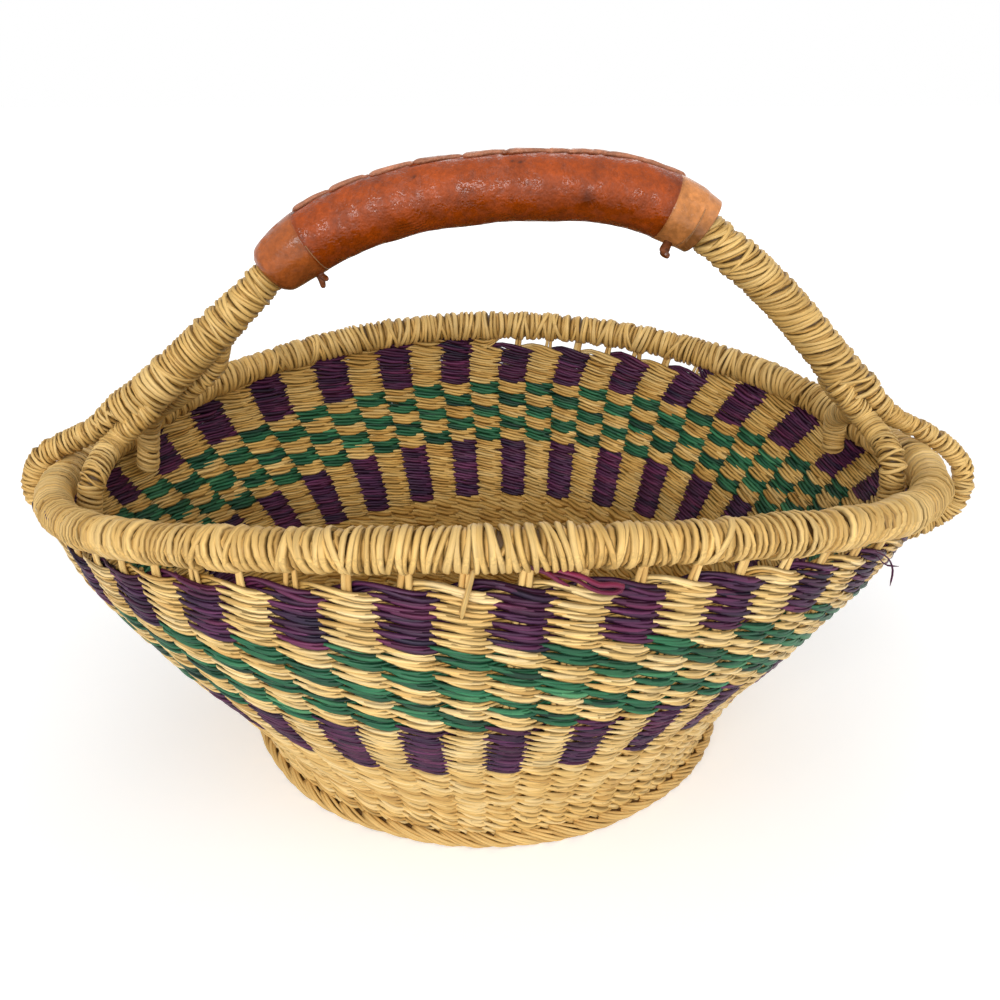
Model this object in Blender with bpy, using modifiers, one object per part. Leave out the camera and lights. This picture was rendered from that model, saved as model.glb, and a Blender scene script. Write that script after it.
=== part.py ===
"""Bolga basket: a round-footed, flared grass basket with a bound rim and a leather-covered handle.

The basket stands on a ring of plaited stake ends. A woven floor closes that ring, and four woven
bands rise from it and flare out to an oval mouth. The stakes leave the top band as short bare
prongs that carry the bound rim. The handle is a bound bundle that springs from the two ends of the
oval, and each of its ends parts into three legs: one curls over the rim and two go down inside it.
A laced leather cover with two end bands wraps the grip.

Metres, +Z up. X runs along the oval mouth and the handle, and the foot stands on Z = 0.
"""
import math

import bmesh
import bpy
import numpy as np
from mathutils import Vector

# Driving dimensions of the basket's body
FOOT_RADIUS = 0.1173          # outer edge of the plaited foot
FOOT_WIDTH = 0.0100           # radial width of the plait
FOOT_HEIGHT = 0.0077          # height of the plait
FOOT_WAVE = 0.0007            # how far each bent stake swells out of the plait
FOOT_FLAT = 0.0040            # width of the flat that the plait stands on
WALL_SET_BACK = 0.0020        # the wall starts this far inside the plait's outer edge
WALL_THICKNESS = 0.0060       # woven wall, measured level
WEAVE_HEIGHT = 0.1323         # mean height of the last woven row
STAKE_COUNT = 60              # stakes round the basket, two for each colour block
STAKE_WIDTH = 0.0042          # stake where it leaves the weave, along the rim
STAKE_SHOULDER = 0.0007       # step in from there to the bare stake

# Floor
FLOOR_THICKNESS = 0.0045
FLOOR_UNDERSIDE = 0.0030      # height of the floor's underside at its edge
FLOOR_CROWN = 0.0030          # how far the floor's middle rises
FLOOR_RINGS = 3

# Rim
RIM_HALF_LENGTH = 0.2000      # oval of the rim's centre line, along X
RIM_HALF_WIDTH = 0.1510       # the same oval, along Y
RIM_RISE = 0.0122             # mean height of its centre line above the last woven row
RIM_RADIUS = 0.0081           # bound rim, to the top of the wraps
RIM_WRAP_DEPTH = 0.0010       # groove between two groups of wraps
RIM_SADDLE = 0.0143           # the two ends hang this far below the mean, front and back rise as far
RIM_LEAN = 0.0016             # one end is this much higher than the mean
RIM_DIP = 0.0045              # sag of the rim just behind each end
RIM_DIP_ANGLE = math.radians(16)     # where it sags, measured from the end of the oval
RIM_DIP_SPREAD = math.radians(13)
RIM_TURNS = 80                # groups of wraps round the rim
RIM_SIDES = 8
BAND_LEAN = 0.0045            # the rows rise this far toward +X
BODY_SHIFT = 0.0040           # the foot and wall stand this far toward -X

# Handle
ARCH_HALF_LENGTH = 0.1700     # from the middle to where the handle parts into its legs
ARCH_FOOT_RISE = 0.0115       # height of that parting above the rim's mean height
ARCH_RISE = 0.1004            # from there to the top of the handle's centre line
STRAND_RADIUS = 0.0022        # straw strand of the bindings
BINDING_RADIUS = 0.0097       # bound handle, to the outside of the strand
LEFT_PITCH = 0.0052           # step from one loop of the binding to the next
RIGHT_PITCH = 0.0053
LOOP_POINTS = 10              # points in one loop of a binding

# Legs
LEG_RADIUS = 0.0058
LEG_RIB_DEPTH = 0.0006        # depth of the grooves between the wraps on a leg
LEG_RIB_PITCH = 0.0075
LEG_SPREAD = 0.0074           # from the handle's axis to the axis of each leg where they part
OUTER_LEG_RUN = 0.0140        # the outer leg follows the handle's line for this long past the parting
LEG_STANDOFF = 0.0030         # between the rim and the legs that go down inside it from the partings
EARLY_LEAVE = 0.0420          # the rear left leg leaves the handle this far above the parting
EARLY_RUN = 0.0120            # and lies beside it for this long
LEFT_LOOP_SLACK = 0.0080      # how loosely the outer leg rides round the rim
RIGHT_LOOP_SLACK = 0.0245
RIGHT_LOOP_APPROACH = 0.0150  # the loose right loop comes back square to the wall from here

# Leather
GRIP_RADIUS = 0.0144          # outside of the leather cover
LEATHER_THICKNESS = 0.0017
COLLAR_LENGTH = 0.0170        # end band, along the handle
LIP_RADIUS = 0.0015           # rolled lip of the seam
LIP_PITCH = 0.0105            # step from one stitch of the lip to the next
LIP_PINCH = 0.0005            # how far a stitch draws the lip in
TIE_RADIUS = 0.0017
TIE_LENGTH = 0.0085

CLEARANCE = 0.0003            # between two pieces that touch

# Wall outline, from the plait up, as shares. Height: of the way from the plait to WEAVE_HEIGHT.
# Flare: of the way from the wall's foot to the rim's oval, along X and along Y. The others: of
# RIM_SADDLE, BAND_LEAN, BODY_SHIFT and RIM_DIP.
WALL_HEIGHT_SHARES = (0.000, 0.098, 0.210, 0.371, 0.588, 0.845, 1.000)
WALL_FLARE_X_SHARES = (0.000, 0.035, 0.136, 0.278, 0.540, 0.860, 1.009)
WALL_FLARE_Y_SHARES = (0.000, 0.081, 0.319, 0.628, 1.056, 1.196, 1.111)
WALL_SADDLE_SHARES = (0.000, 0.035, 0.070, 0.140, 0.420, 0.700, 0.910)
WALL_LEAN_SHARES = (0.000, 0.110, 0.330, 0.900, 1.000, 0.670, 0.450)
WALL_SHIFT_SHARES = (1.000, 1.000, 1.000, 1.000, 0.900, 0.900, 0.480)
WALL_DIP_SHARES = (0.000, 0.000, 0.000, 0.000, 0.100, 0.400, 0.900)
BAND_EDGE_SHARES = {"wall_natural": (0.000, 0.371), "band_lower_purple": (0.371, 0.588),
                    "band_green": (0.588, 0.845), "band_upper_purple": (0.845, 1.000)}

# Handle's centre line between the two partings, as shares of ARCH_HALF_LENGTH and ARCH_RISE
ARCH_SHARES = ((-1.00, 0.000), (-0.84, 0.230), (-0.675, 0.479), (-0.50, 0.745), (-0.367, 0.865),
               (-0.24, 0.935), (-0.086, 0.980), (0.14, 1.000), (0.27, 0.990), (0.37, 0.957),
               (0.473, 0.885), (0.56, 0.785), (0.74, 0.540), (0.88, 0.294), (1.00, 0.065))
GRIP_SPAN_SHARES = (0.237, 0.727)    # the leather's ends, as shares of the handle's length
LEFT_BINDING_SHARES = (1.00, 1.00, 0.95, 0.78)     # bound radius, from the outer end inward
RIGHT_BINDING_SHARES = (1.00, 1.00, 1.00, 0.93)

# Where each leg ends: share of the wall's height, and angle from the end of the oval
LEG_SEAT_SHARE = 0.93
LEFT_LOOP_SEAT_SHARE = 0.88
RIGHT_LOOP_SEAT_SHARE = 0.80
FRONT_LEG_ANGLE = math.radians(13)
REAR_LEG_ANGLE = math.radians(16)
EARLY_LEG_ANGLE = math.radians(19)
# The outer leg's turn round the rim, as shares of a right angle, and its slack there
LOOP_TURN_SHARES = ((0.90, 0.00), (0.45, 0.04), (0.10, 0.24), (-0.20, 0.58), (-0.48, 0.90),
                    (-0.75, 1.00))
# Shares of LEG_SPREAD. The two inner legs: toward the side, and outward
INNER_LEG_SHARES = (0.95, -0.70)
OUTER_LEG_SHARE = 0.60               # the outer leg's distance outward from the handle's axis
LIP_LEAN = math.radians(8)           # the seam lies this far behind the top of the grip
TIE_ANGLE = math.radians(125)        # and the ties hang this far in front of it
TUBE_SIDES = 16
# How far each stake stands from its even place, in radians: times round, cosine and sine parts
STAKE_LEAD_SHARES = ((0, 0.0221, 0.0000), (1, 0.0158, 0.0245), (2, -0.0100, -0.0356),
                     (3, 0.0070, 0.0066))
PROBE_ANGLE = math.radians(5)        # steps that measure the slope of the wall
PROBE_SHARE = 0.01
COLLAR_SHOULDER_SHARES = (0.45, 0.72, 0.86, 0.98, 1.00)   # from the collar's mouth to its full radius

GRASS = (0.62, 0.42, 0.17)
GRASS_PALE = (0.72, 0.52, 0.24)
PURPLE = (0.10, 0.04, 0.13)
GREEN = (0.03, 0.22, 0.11)
LEATHER = (0.36, 0.10, 0.03)
LEATHER_PALE = (0.46, 0.17, 0.06)


def start_collection(name):
    """Empty the scene and return the collection that holds the basket."""
    for old in list(bpy.data.objects):
        bpy.data.objects.remove(old, do_unlink=True)
    collection = bpy.data.collections.new(name)
    bpy.context.scene.collection.children.link(collection)
    return collection


def make_material(name, color, roughness):
    material = bpy.data.materials.new(name)
    material.use_nodes = True
    shader = material.node_tree.nodes["Principled BSDF"]
    shader.inputs["Base Color"].default_value = (*color, 1.0)
    shader.inputs["Roughness"].default_value = roughness
    shader.inputs["Metallic"].default_value = 0.0
    material.diffuse_color = (*color, 1.0)
    return material


def add_object(collection, name, data, material):
    piece = bpy.data.objects.new(name, data)
    collection.objects.link(piece)
    data.materials.append(material)
    return piece


def smooth(xs, ys, x):
    """Cubic curve through the points that never overshoots them."""
    xs, ys = np.asarray(xs, float), np.asarray(ys, float)
    step = np.diff(xs)
    slope = np.diff(ys) / step
    tangent = np.zeros_like(ys)
    same_sign = slope[:-1] * slope[1:] > 0
    mean = 2 * slope[:-1] * slope[1:] / np.where(same_sign, slope[:-1] + slope[1:], 1.0)
    tangent[1:-1] = np.where(same_sign, mean, 0.0)
    tangent[0], tangent[-1] = slope[0], slope[-1]
    x = np.clip(x, xs[0], xs[-1])
    k = np.clip(np.searchsorted(xs, x, side="right") - 1, 0, len(step) - 1)
    u = (x - xs[k]) / step[k]
    start = (1 + 2 * u) * (1 - u) ** 2 * ys[k] + u * (1 - u) ** 2 * step[k] * tangent[k]
    end = u * u * (3 - 2 * u) * ys[k + 1] + u * u * (u - 1) * step[k] * tangent[k + 1]
    return start + end


def rim_dip(angle):
    """Share of RIM_DIP at an angle round the oval: one soft dip behind each end."""
    total = 0.0
    for centre in (RIM_DIP_ANGLE, math.pi - RIM_DIP_ANGLE):
        away = math.remainder(angle - centre, 2 * math.pi)
        total += math.exp(-(away / RIM_DIP_SPREAD) ** 2)
    return total


def rim_point(angle):
    """Centre line of the rim."""
    height = WEAVE_HEIGHT + RIM_RISE - RIM_SADDLE * math.cos(2 * angle) + RIM_LEAN * math.cos(angle)
    height -= RIM_DIP * rim_dip(angle)
    return Vector((RIM_HALF_LENGTH * math.cos(angle), RIM_HALF_WIDTH * math.sin(angle), height))


def wall_point(share, angle, inset):
    """A point of the wall at a share of its height, set level into the wall by inset."""
    wall_foot = FOOT_RADIUS - WALL_SET_BACK
    plait_top = FOOT_HEIGHT + CLEARANCE / 2

    def level(shares):
        return float(smooth(WALL_HEIGHT_SHARES, shares, share))

    half_length = wall_foot + level(WALL_FLARE_X_SHARES) * (RIM_HALF_LENGTH - wall_foot) - inset
    half_width = wall_foot + level(WALL_FLARE_Y_SHARES) * (RIM_HALF_WIDTH - wall_foot) - inset
    height = plait_top + share * (WEAVE_HEIGHT - plait_top)
    height -= RIM_SADDLE * level(WALL_SADDLE_SHARES) * math.cos(2 * angle)
    height += BAND_LEAN * level(WALL_LEAN_SHARES) * math.cos(angle)
    height -= RIM_DIP * level(WALL_DIP_SHARES) * rim_dip(angle)
    shift = BODY_SHIFT * level(WALL_SHIFT_SHARES)
    return Vector((half_length * math.cos(angle) - shift, half_width * math.sin(angle), height))


def wall_outward(share, angle):
    """Direction square to the wall's outside."""
    across = wall_point(share, angle + PROBE_ANGLE, 0) - wall_point(share, angle - PROBE_ANGLE, 0)
    upward = wall_point(share + PROBE_SHARE, angle, 0) - wall_point(share - PROBE_SHARE, angle, 0)
    return across.cross(upward).normalized()


def stake_angle(index):
    """Angle of a stake; the first one stands in the middle of the front."""
    turn = 2 * math.pi * index / STAKE_COUNT
    lead = 0.0
    for times, cosine, sine in STAKE_LEAD_SHARES:
        lead += cosine * math.cos(times * turn) + sine * math.sin(times * turn)
    return turn - math.pi / 2 + lead


def ring_mesh(name, sections):
    """Closed ring through sections, each a loop of points in the same order."""
    mesh = bmesh.new()
    rows = [[mesh.verts.new(point) for point in section] for section in sections]
    sides = len(rows[0])
    for here, ahead in zip(rows, rows[1:] + rows[:1]):
        for i in range(sides):
            j = (i + 1) % sides
            mesh.faces.new((here[i], here[j], ahead[j], ahead[i]))
    bmesh.ops.recalc_face_normals(mesh, faces=mesh.faces[:])
    data = bpy.data.meshes.new(name)
    mesh.to_mesh(data)
    mesh.free()
    return data


def foot_section(angle, swell):
    """Section of the plait: a flattened round with a level underside."""
    middle = FOOT_RADIUS - FOOT_WIDTH / 2
    half = FOOT_WIDTH / 2 - FOOT_WAVE + swell
    flat = FOOT_FLAT / 2
    waist = FOOT_HEIGHT / 2
    profile = ((-flat, 0.0), (flat, 0.0), (half, waist), (flat, FOOT_HEIGHT), (-flat, FOOT_HEIGHT),
               (-half, waist))
    points = []
    for out, up in profile:
        radius = middle + out
        points.append((radius * math.cos(angle) - BODY_SHIFT, radius * math.sin(angle), up))
    return points


def build_foot(collection, material):
    """Plaited ring that the basket stands on: each stake end swells out of it once."""
    sections = []
    for i in range(2 * STAKE_COUNT):
        swell = FOOT_WAVE if i % 2 else 0.0
        sections.append(foot_section(math.pi * i / STAKE_COUNT, swell))
    add_object(collection, "foot_braid", ring_mesh("foot_braid", sections), material)


def build_floor(collection, material):
    """Woven floor: a thin disc with a slight crown, turned from its section."""
    radius = FOOT_RADIUS - FOOT_WIDTH - CLEARANCE
    shares = [k / FLOOR_RINGS for k in range(FLOOR_RINGS + 1)]
    top = [(radius * share, FLOOR_UNDERSIDE + FLOOR_CROWN * (1 - share ** 2)) for share in shares]
    mesh = bmesh.new()
    verts = [mesh.verts.new((out, 0, up + FLOOR_THICKNESS)) for out, up in top]
    verts += [mesh.verts.new((out, 0, up)) for out, up in reversed(top)]
    for a, b in zip(verts, verts[1:]):
        mesh.edges.new((a, b))
    data = bpy.data.meshes.new("base_floor")
    mesh.to_mesh(data)
    mesh.free()
    floor = add_object(collection, "base_floor", data, material)
    floor.location = (-BODY_SHIFT, 0, 0)
    turn = floor.modifiers.new("turn", "SCREW")
    turn.axis = "Z"
    turn.steps = turn.render_steps = STAKE_COUNT
    turn.use_merge_vertices = True
    turn.merge_threshold = CLEARANCE / 10


def band_sections(bottom, top, rows, angles):
    """Sections of a woven band: up its outside and down its inside, at each angle."""
    shares = [bottom + (top - bottom) * k / rows for k in range(rows + 1)]
    sections = []
    for angle in angles:
        outside = [wall_point(share, angle, 0.0) for share in shares]
        inside = [wall_point(share, angle, WALL_THICKNESS) for share in shares]
        for side in (outside, inside):
            side[0].z += CLEARANCE / 2
            side[-1].z -= CLEARANCE / 2
        sections.append(outside + inside[::-1])
    return sections


def build_band(collection, name, rows, material):
    bottom, top = BAND_EDGE_SHARES[name]
    angles = [stake_angle(i) for i in range(STAKE_COUNT)]
    data = ring_mesh(name, band_sections(bottom, top, rows, angles))
    band = add_object(collection, name, data, material)
    band.data.shade_smooth()
    band.data.set_sharp_from_angle(angle=math.radians(40))


def build_upper_band(collection, name, rows, material):
    """Top band, with the bare stakes that stand up from its last row to the rim."""
    bottom, top = BAND_EDGE_SHARES[name]
    angles = []
    for i in range(STAKE_COUNT):
        half = STAKE_WIDTH / 2 / rim_point(stake_angle(i)).xy.length
        angles += [stake_angle(i) - half, stake_angle(i) + half]
    data = ring_mesh(name, band_sections(bottom, top, rows, angles))
    mesh = bmesh.new()
    mesh.from_mesh(data)
    mesh.faces.ensure_lookup_table()
    sides = 2 * (rows + 1)
    tops = [mesh.faces[i * sides + rows] for i in range(0, 2 * STAKE_COUNT, 2)]
    bmesh.ops.inset_individual(mesh, faces=tops, thickness=STAKE_SHOULDER)
    for face in bmesh.ops.extrude_discrete_faces(mesh, faces=tops)["faces"]:
        for vert in face.verts:
            angle = math.atan2(vert.co.y / RIM_HALF_WIDTH, vert.co.x / RIM_HALF_LENGTH)
            vert.co.z = rim_point(angle).z - RIM_RADIUS - CLEARANCE
    mesh.to_mesh(data)
    mesh.free()
    add_object(collection, name, data, material)


def rim_frame(share):
    """Centre, outward and upward directions of the rim at a share of its way round."""
    angle = 2 * math.pi * share
    step = math.pi / RIM_TURNS / RIM_SIDES
    along = (rim_point(angle + step) - rim_point(angle - step)).normalized()
    out = along.cross(Vector((0, 0, 1))).normalized()
    return rim_point(angle), out, out.cross(along)


def build_rim(collection, material):
    """Bound rim: one ridge winds round it from end to end and closes on itself."""
    count = RIM_TURNS * RIM_SIDES
    mesh = bmesh.new()

    def spiral(radius, lag):
        verts = []
        for k in range(count):
            centre, out, up = rim_frame((k + lag) / count)
            turn = 2 * math.pi * k / RIM_SIDES
            verts.append(mesh.verts.new(centre + radius * (math.cos(turn) * out + math.sin(turn) * up)))
        return verts

    ridge = spiral(RIM_RADIUS, 0)
    groove = spiral(RIM_RADIUS - RIM_WRAP_DEPTH, RIM_SIDES / 2)
    for k in range(count):
        after = (k + 1) % count
        next_turn = (k + RIM_SIDES) % count
        next_after = (after + RIM_SIDES) % count
        mesh.faces.new((ridge[k], ridge[after], groove[after], groove[k]))
        mesh.faces.new((groove[k], groove[after], ridge[next_after], ridge[next_turn]))
    bmesh.ops.recalc_face_normals(mesh, faces=mesh.faces[:])
    data = bpy.data.meshes.new("rim_binding")
    mesh.to_mesh(data)
    mesh.free()
    add_object(collection, "rim_binding", data, material)


class Route:
    """Smooth path through points, read by length, with a steady frame along it."""

    def __init__(self, points, steps=24):
        points = [Vector(point) for point in points]
        spans = [(b - a).length for a, b in zip(points, points[1:])]
        slopes = [(b - a) / span for a, b, span in zip(points, points[1:], spans)]
        turns = [slopes[0]]
        for before, after, near, far in zip(slopes, slopes[1:], spans, spans[1:]):
            turns.append((before * far + after * near) / (near + far))
        turns.append(slopes[-1])
        self.places = []
        for k, span in enumerate(spans):
            for step in range(steps):
                u = step / steps
                place = (1 + 2 * u) * (1 - u) ** 2 * points[k] + u * u * (3 - 2 * u) * points[k + 1]
                place += span * u * (1 - u) * ((1 - u) * turns[k] - u * turns[k + 1])
                self.places.append(place)
        self.places.append(points[-1])
        self.marks = [0.0]
        for a, b in zip(self.places, self.places[1:]):
            self.marks.append(self.marks[-1] + (b - a).length)
        self.length = self.marks[-1]

    def point(self, distance):
        distance = min(max(distance, 0.0), self.length)
        k = min(int(np.searchsorted(self.marks, distance, side="right")) - 1, len(self.places) - 2)
        span = self.marks[k + 1] - self.marks[k]
        return self.places[k].lerp(self.places[k + 1], (distance - self.marks[k]) / span)

    def frame(self, distance):
        """Point, direction along, level direction to the side, and direction outward."""
        reach = self.length / 200
        along = (self.point(distance + reach) - self.point(distance - reach)).normalized()
        side = Vector((0, 1, 0))
        side = (side - side.dot(along) * along).normalized()
        return self.point(distance), along, side, along.cross(side)


ARCH_FOOT = WEAVE_HEIGHT + RIM_RISE + ARCH_FOOT_RISE
ARCH = Route([(x * ARCH_HALF_LENGTH, 0.0, ARCH_FOOT + z * ARCH_RISE) for x, z in ARCH_SHARES])
GRIP_START = GRIP_SPAN_SHARES[0] * ARCH.length
GRIP_END = GRIP_SPAN_SHARES[1] * ARCH.length
GRIP_CORE_RADIUS = GRIP_RADIUS - LEATHER_THICKNESS - CLEARANCE


def strand_reach(distance):
    """Distance from the handle's axis to the middle of the binding strand."""
    if distance < ARCH.length / 2:
        share, shares = distance / GRIP_START, LEFT_BINDING_SHARES
    else:
        share, shares = (ARCH.length - distance) / (ARCH.length - GRIP_END), RIGHT_BINDING_SHARES
    steps = [k / (len(shares) - 1) for k in range(len(shares))]
    return (BINDING_RADIUS - STRAND_RADIUS) * float(smooth(steps, shares, share))


def bound_core_radius(distance):
    """Straw core inside the binding; the flat sides of a loop come nearest to it."""
    return strand_reach(distance) * math.cos(math.pi / LOOP_POINTS) - STRAND_RADIUS - CLEARANCE


def tube(collection, name, points, radius, material, shares=None, resolution=1):
    """Tube through points; shares swell or draw in its radius at each of them."""
    data = bpy.data.curves.new(name, "CURVE")
    data.dimensions = "3D"
    data.bevel_depth = radius
    data.bevel_resolution = resolution
    data.use_fill_caps = True
    data.twist_mode = "MINIMUM"
    spline = data.splines.new("POLY")
    spline.points.add(len(points) - 1)
    for i, point in enumerate(points):
        spline.points[i].co = (*point, 1.0)
        spline.points[i].radius = shares[i] if shares else 1.0
    return add_object(collection, name, data, material)


def build_bundle(collection, material):
    """Straw core of the handle: thin where it is bound, thick under the leather."""
    left = list(np.linspace(CLEARANCE, GRIP_START, 9)) + [GRIP_START + LEATHER_THICKNESS]
    right = [GRIP_END - LEATHER_THICKNESS] + list(np.linspace(GRIP_END, ARCH.length - CLEARANCE, 10))
    shoulder = COLLAR_LENGTH + LEATHER_THICKNESS
    grip = list(np.linspace(GRIP_START + shoulder, GRIP_END - shoulder, 16))
    radii = [bound_core_radius(min(mark, GRIP_START)) for mark in left]
    radii += [GRIP_CORE_RADIUS] * len(grip)
    radii += [bound_core_radius(max(mark, GRIP_END)) for mark in right]
    points = [ARCH.point(mark) for mark in left + grip + right]
    shares = [radius / GRIP_CORE_RADIUS for radius in radii]
    tube(collection, "handle_bundle", points, GRIP_CORE_RADIUS, material, shares, resolution=2)


def build_binding(collection, name, start, end, pitch, material):
    """Unbroken winding round the handle, with a straight lead at each end."""
    lead = 2 * STRAND_RADIUS
    first, last = start + CLEARANCE + lead, end - CLEARANCE - lead
    loops = int((last - first) / pitch)
    count = loops * LOOP_POINTS
    points = []
    for k in range(count + 1):
        distance = first + (last - first) * k / count
        centre, along, side, out = ARCH.frame(distance)
        turn = 2 * math.pi * k / LOOP_POINTS
        points.append(centre + strand_reach(distance) * (math.cos(turn) * out + math.sin(turn) * side))
    points.insert(0, points[0] - ARCH.frame(first)[1] * lead)
    points.append(points[-1] + ARCH.frame(last)[1] * lead)
    tube(collection, name, points, STRAND_RADIUS, material)

    places = np.array([tuple(point) for point in points])
    least = math.inf
    for skip in range(LOOP_POINTS - 2, LOOP_POINTS + 3):
        least = min(least, np.linalg.norm(places[skip:] - places[:-skip], axis=1).min())
    print(f"{name}: {loops} loops, least gap to itself {(least - 2 * STRAND_RADIUS) * 1000:.2f} mm")


def build_leg(collection, name, points, material):
    """Bound leg: its radius rises and falls with the wraps."""
    route = Route(points)
    count = 2 * round(route.length / LEG_RIB_PITCH) + 1
    places = [route.point(route.length * k / (count - 1)) for k in range(count)]
    groove = 1 - LEG_RIB_DEPTH / LEG_RADIUS
    shares = [1.0 if k % 2 else groove for k in range(count)]
    tube(collection, name, places, LEG_RADIUS, material, shares)


def parting(end):
    """Where the handle parts into legs: place, direction down the handle, side and outward."""
    centre, along, side, out = ARCH.frame(0.0 if end < 0 else ARCH.length)
    return centre, end * along, side, out


def outer_leg_points(end, slack, seat_share, seat_reaches):
    """Leg that rides over the end of the rim and curls in under it to the wall's outside."""
    centre, down, side, out = parting(end)
    start = centre + out * OUTER_LEG_SHARE * LEG_SPREAD + down * CLEARANCE
    tip_angle = 0.0 if end > 0 else math.pi
    tip = rim_point(tip_angle)
    touch = RIM_RADIUS + LEG_RADIUS + 2 * CLEARANCE
    points = [start, start + down * LEG_RADIUS, start + down * OUTER_LEG_RUN]
    for turn_share, slack_share in LOOP_TURN_SHARES:
        turn = turn_share * math.pi / 2
        reach = touch + slack * slack_share
        points.append(tip + reach * Vector((end * math.cos(turn), 0, math.sin(turn))))
    outward = wall_outward(seat_share, tip_angle)
    seat = wall_point(seat_share, tip_angle, 0.0)
    return points + [seat + outward * reach for reach in seat_reaches]


def leg_foot_points(angle, gap):
    """Last points of an inner leg: down past the rim at a gap from it, and down the wall's inside."""
    rim = rim_point(angle)
    inward = Vector((-rim.x, -rim.y, 0)).normalized()
    beside = rim + inward * (RIM_RADIUS + LEG_RADIUS + gap)
    foot = wall_point(LEG_SEAT_SHARE, angle, 0.0) - wall_outward(LEG_SEAT_SHARE, angle) * (
        WALL_THICKNESS + LEG_RADIUS + CLEARANCE)
    return [beside + Vector((0, 0, LEG_RADIUS)), foot]


def inner_leg_points(end, toward, angle):
    """Leg from the parting down inside the rim, in front (-1) or behind (+1)."""
    centre, down, side, out = parting(end)
    across, outward = INNER_LEG_SHARES
    start = centre + (side * toward * across + out * outward) * LEG_SPREAD + down * CLEARANCE
    return [start, start + down * LEG_RADIUS] + leg_foot_points(angle, LEG_STANDOFF)


def early_leg_points(angle):
    """Rear left leg: it leaves the bound handle from below, above the parting."""
    points = []
    for distance in (EARLY_LEAVE, EARLY_LEAVE - EARLY_RUN):
        centre, along, side, out = ARCH.frame(distance)
        points.append(centre + (side - out).normalized() * (BINDING_RADIUS + LEG_RADIUS + 2 * CLEARANCE))
    return points + leg_foot_points(angle, 2 * CLEARANCE)


def leg_routes():
    left, right = math.pi, 0.0
    beside = LEG_RADIUS + 2 * CLEARANCE
    return {
        "leg_outer_left": outer_leg_points(-1, LEFT_LOOP_SLACK, LEFT_LOOP_SEAT_SHARE, (beside,)),
        "leg_outer_right": outer_leg_points(1, RIGHT_LOOP_SLACK, RIGHT_LOOP_SEAT_SHARE,
                                            (RIGHT_LOOP_APPROACH, 3 * CLEARANCE)),
        "leg_front_left": inner_leg_points(-1, -1, left + FRONT_LEG_ANGLE),
        "leg_front_right": inner_leg_points(1, -1, right - FRONT_LEG_ANGLE),
        "leg_rear_left": early_leg_points(left - EARLY_LEG_ANGLE),
        "leg_rear_right": inner_leg_points(1, 1, right + REAR_LEG_ANGLE),
    }


def build_legs(collection, material):
    for name, points in leg_routes().items():
        build_leg(collection, name, points, material)


def centre_on_length(collection):
    """Move the basket along X so that its two outer legs reach equally far."""
    routes = leg_routes()
    right = max(place.x for place in Route(routes["leg_outer_right"]).places)
    left = min(place.x for place in Route(routes["leg_outer_left"]).places)
    shift = (right + left) / 2
    for piece in collection.objects:
        piece.location.x -= shift
    print(f"moved {shift * 1000:.2f} mm toward -X")


def build_sleeve(collection, name, marks, outer, inner, material):
    """Hollow leather sleeve round the handle, from its outer and inner radius at each mark."""
    sections = []
    spread = 1 / math.cos(math.pi / TUBE_SIDES)
    for mark, radius in list(zip(marks, outer)) + list(zip(marks, inner))[::-1]:
        if radius in inner:
            radius *= spread
        centre, along, side, out = ARCH.frame(mark)
        turns = [2 * math.pi * k / TUBE_SIDES for k in range(TUBE_SIDES)]
        sections.append([centre + radius * (math.cos(t) * out + math.sin(t) * side) for t in turns])
    sleeve = add_object(collection, name, ring_mesh(name, sections), material)
    sleeve.data.shade_smooth()
    sleeve.data.set_sharp_from_angle(angle=math.radians(40))


def build_cover(collection, material):
    """Leather cover between the two end bands."""
    start = GRIP_START + COLLAR_LENGTH + CLEARANCE
    end = GRIP_END - COLLAR_LENGTH - CLEARANCE
    marks = list(np.linspace(start, end, 16))
    inner = [GRIP_CORE_RADIUS + CLEARANCE] * len(marks)
    build_sleeve(collection, "leather_cover", marks, [GRIP_RADIUS] * len(marks), inner, material)


def build_collar(collection, name, end, inward, material):
    """End band: it closes round the bundle with a rounded shoulder."""
    mouth = bound_core_radius(end) + 2 * CLEARANCE
    marks = [end, end + inward * LEATHER_THICKNESS, end + inward * 2 * LEATHER_THICKNESS,
             end + inward * COLLAR_LENGTH / 2, end + inward * COLLAR_LENGTH]
    outer = [mouth + (GRIP_RADIUS - mouth) * share for share in COLLAR_SHOULDER_SHARES]
    full = GRIP_CORE_RADIUS + CLEARANCE
    inner = [mouth, mouth]
    for mark in marks[2:]:
        share = (abs(mark - end) - LEATHER_THICKNESS) / (COLLAR_LENGTH - LEATHER_THICKNESS)
        inner.append(mouth + (full - mouth) * share)
    build_sleeve(collection, name, marks, outer, inner, material)


def grip_place(mark, lean, reach):
    """Point at a distance from the handle's axis, leaning toward the back from its top."""
    centre, along, side, out = ARCH.frame(mark)
    return centre + reach * (math.cos(lean) * out + math.sin(lean) * side)


def build_lip(collection, material):
    """Rolled lip of the seam: it swells between the stitches that draw it in."""
    start = GRIP_START + COLLAR_LENGTH + CLEARANCE
    end = GRIP_END - COLLAR_LENGTH - CLEARANCE
    count = 2 * round((end - start) / LIP_PITCH) + 1
    reach = GRIP_RADIUS + LIP_RADIUS + CLEARANCE
    marks = [start + (end - start) * k / (count - 1) for k in range(count)]
    shares = [1.0 if k % 2 else 1 - LIP_PINCH / LIP_RADIUS for k in range(count)]
    points = [grip_place(mark, LIP_LEAN, reach) for mark in marks]
    tube(collection, "leather_lacing", points, LIP_RADIUS, material, shares)


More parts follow.
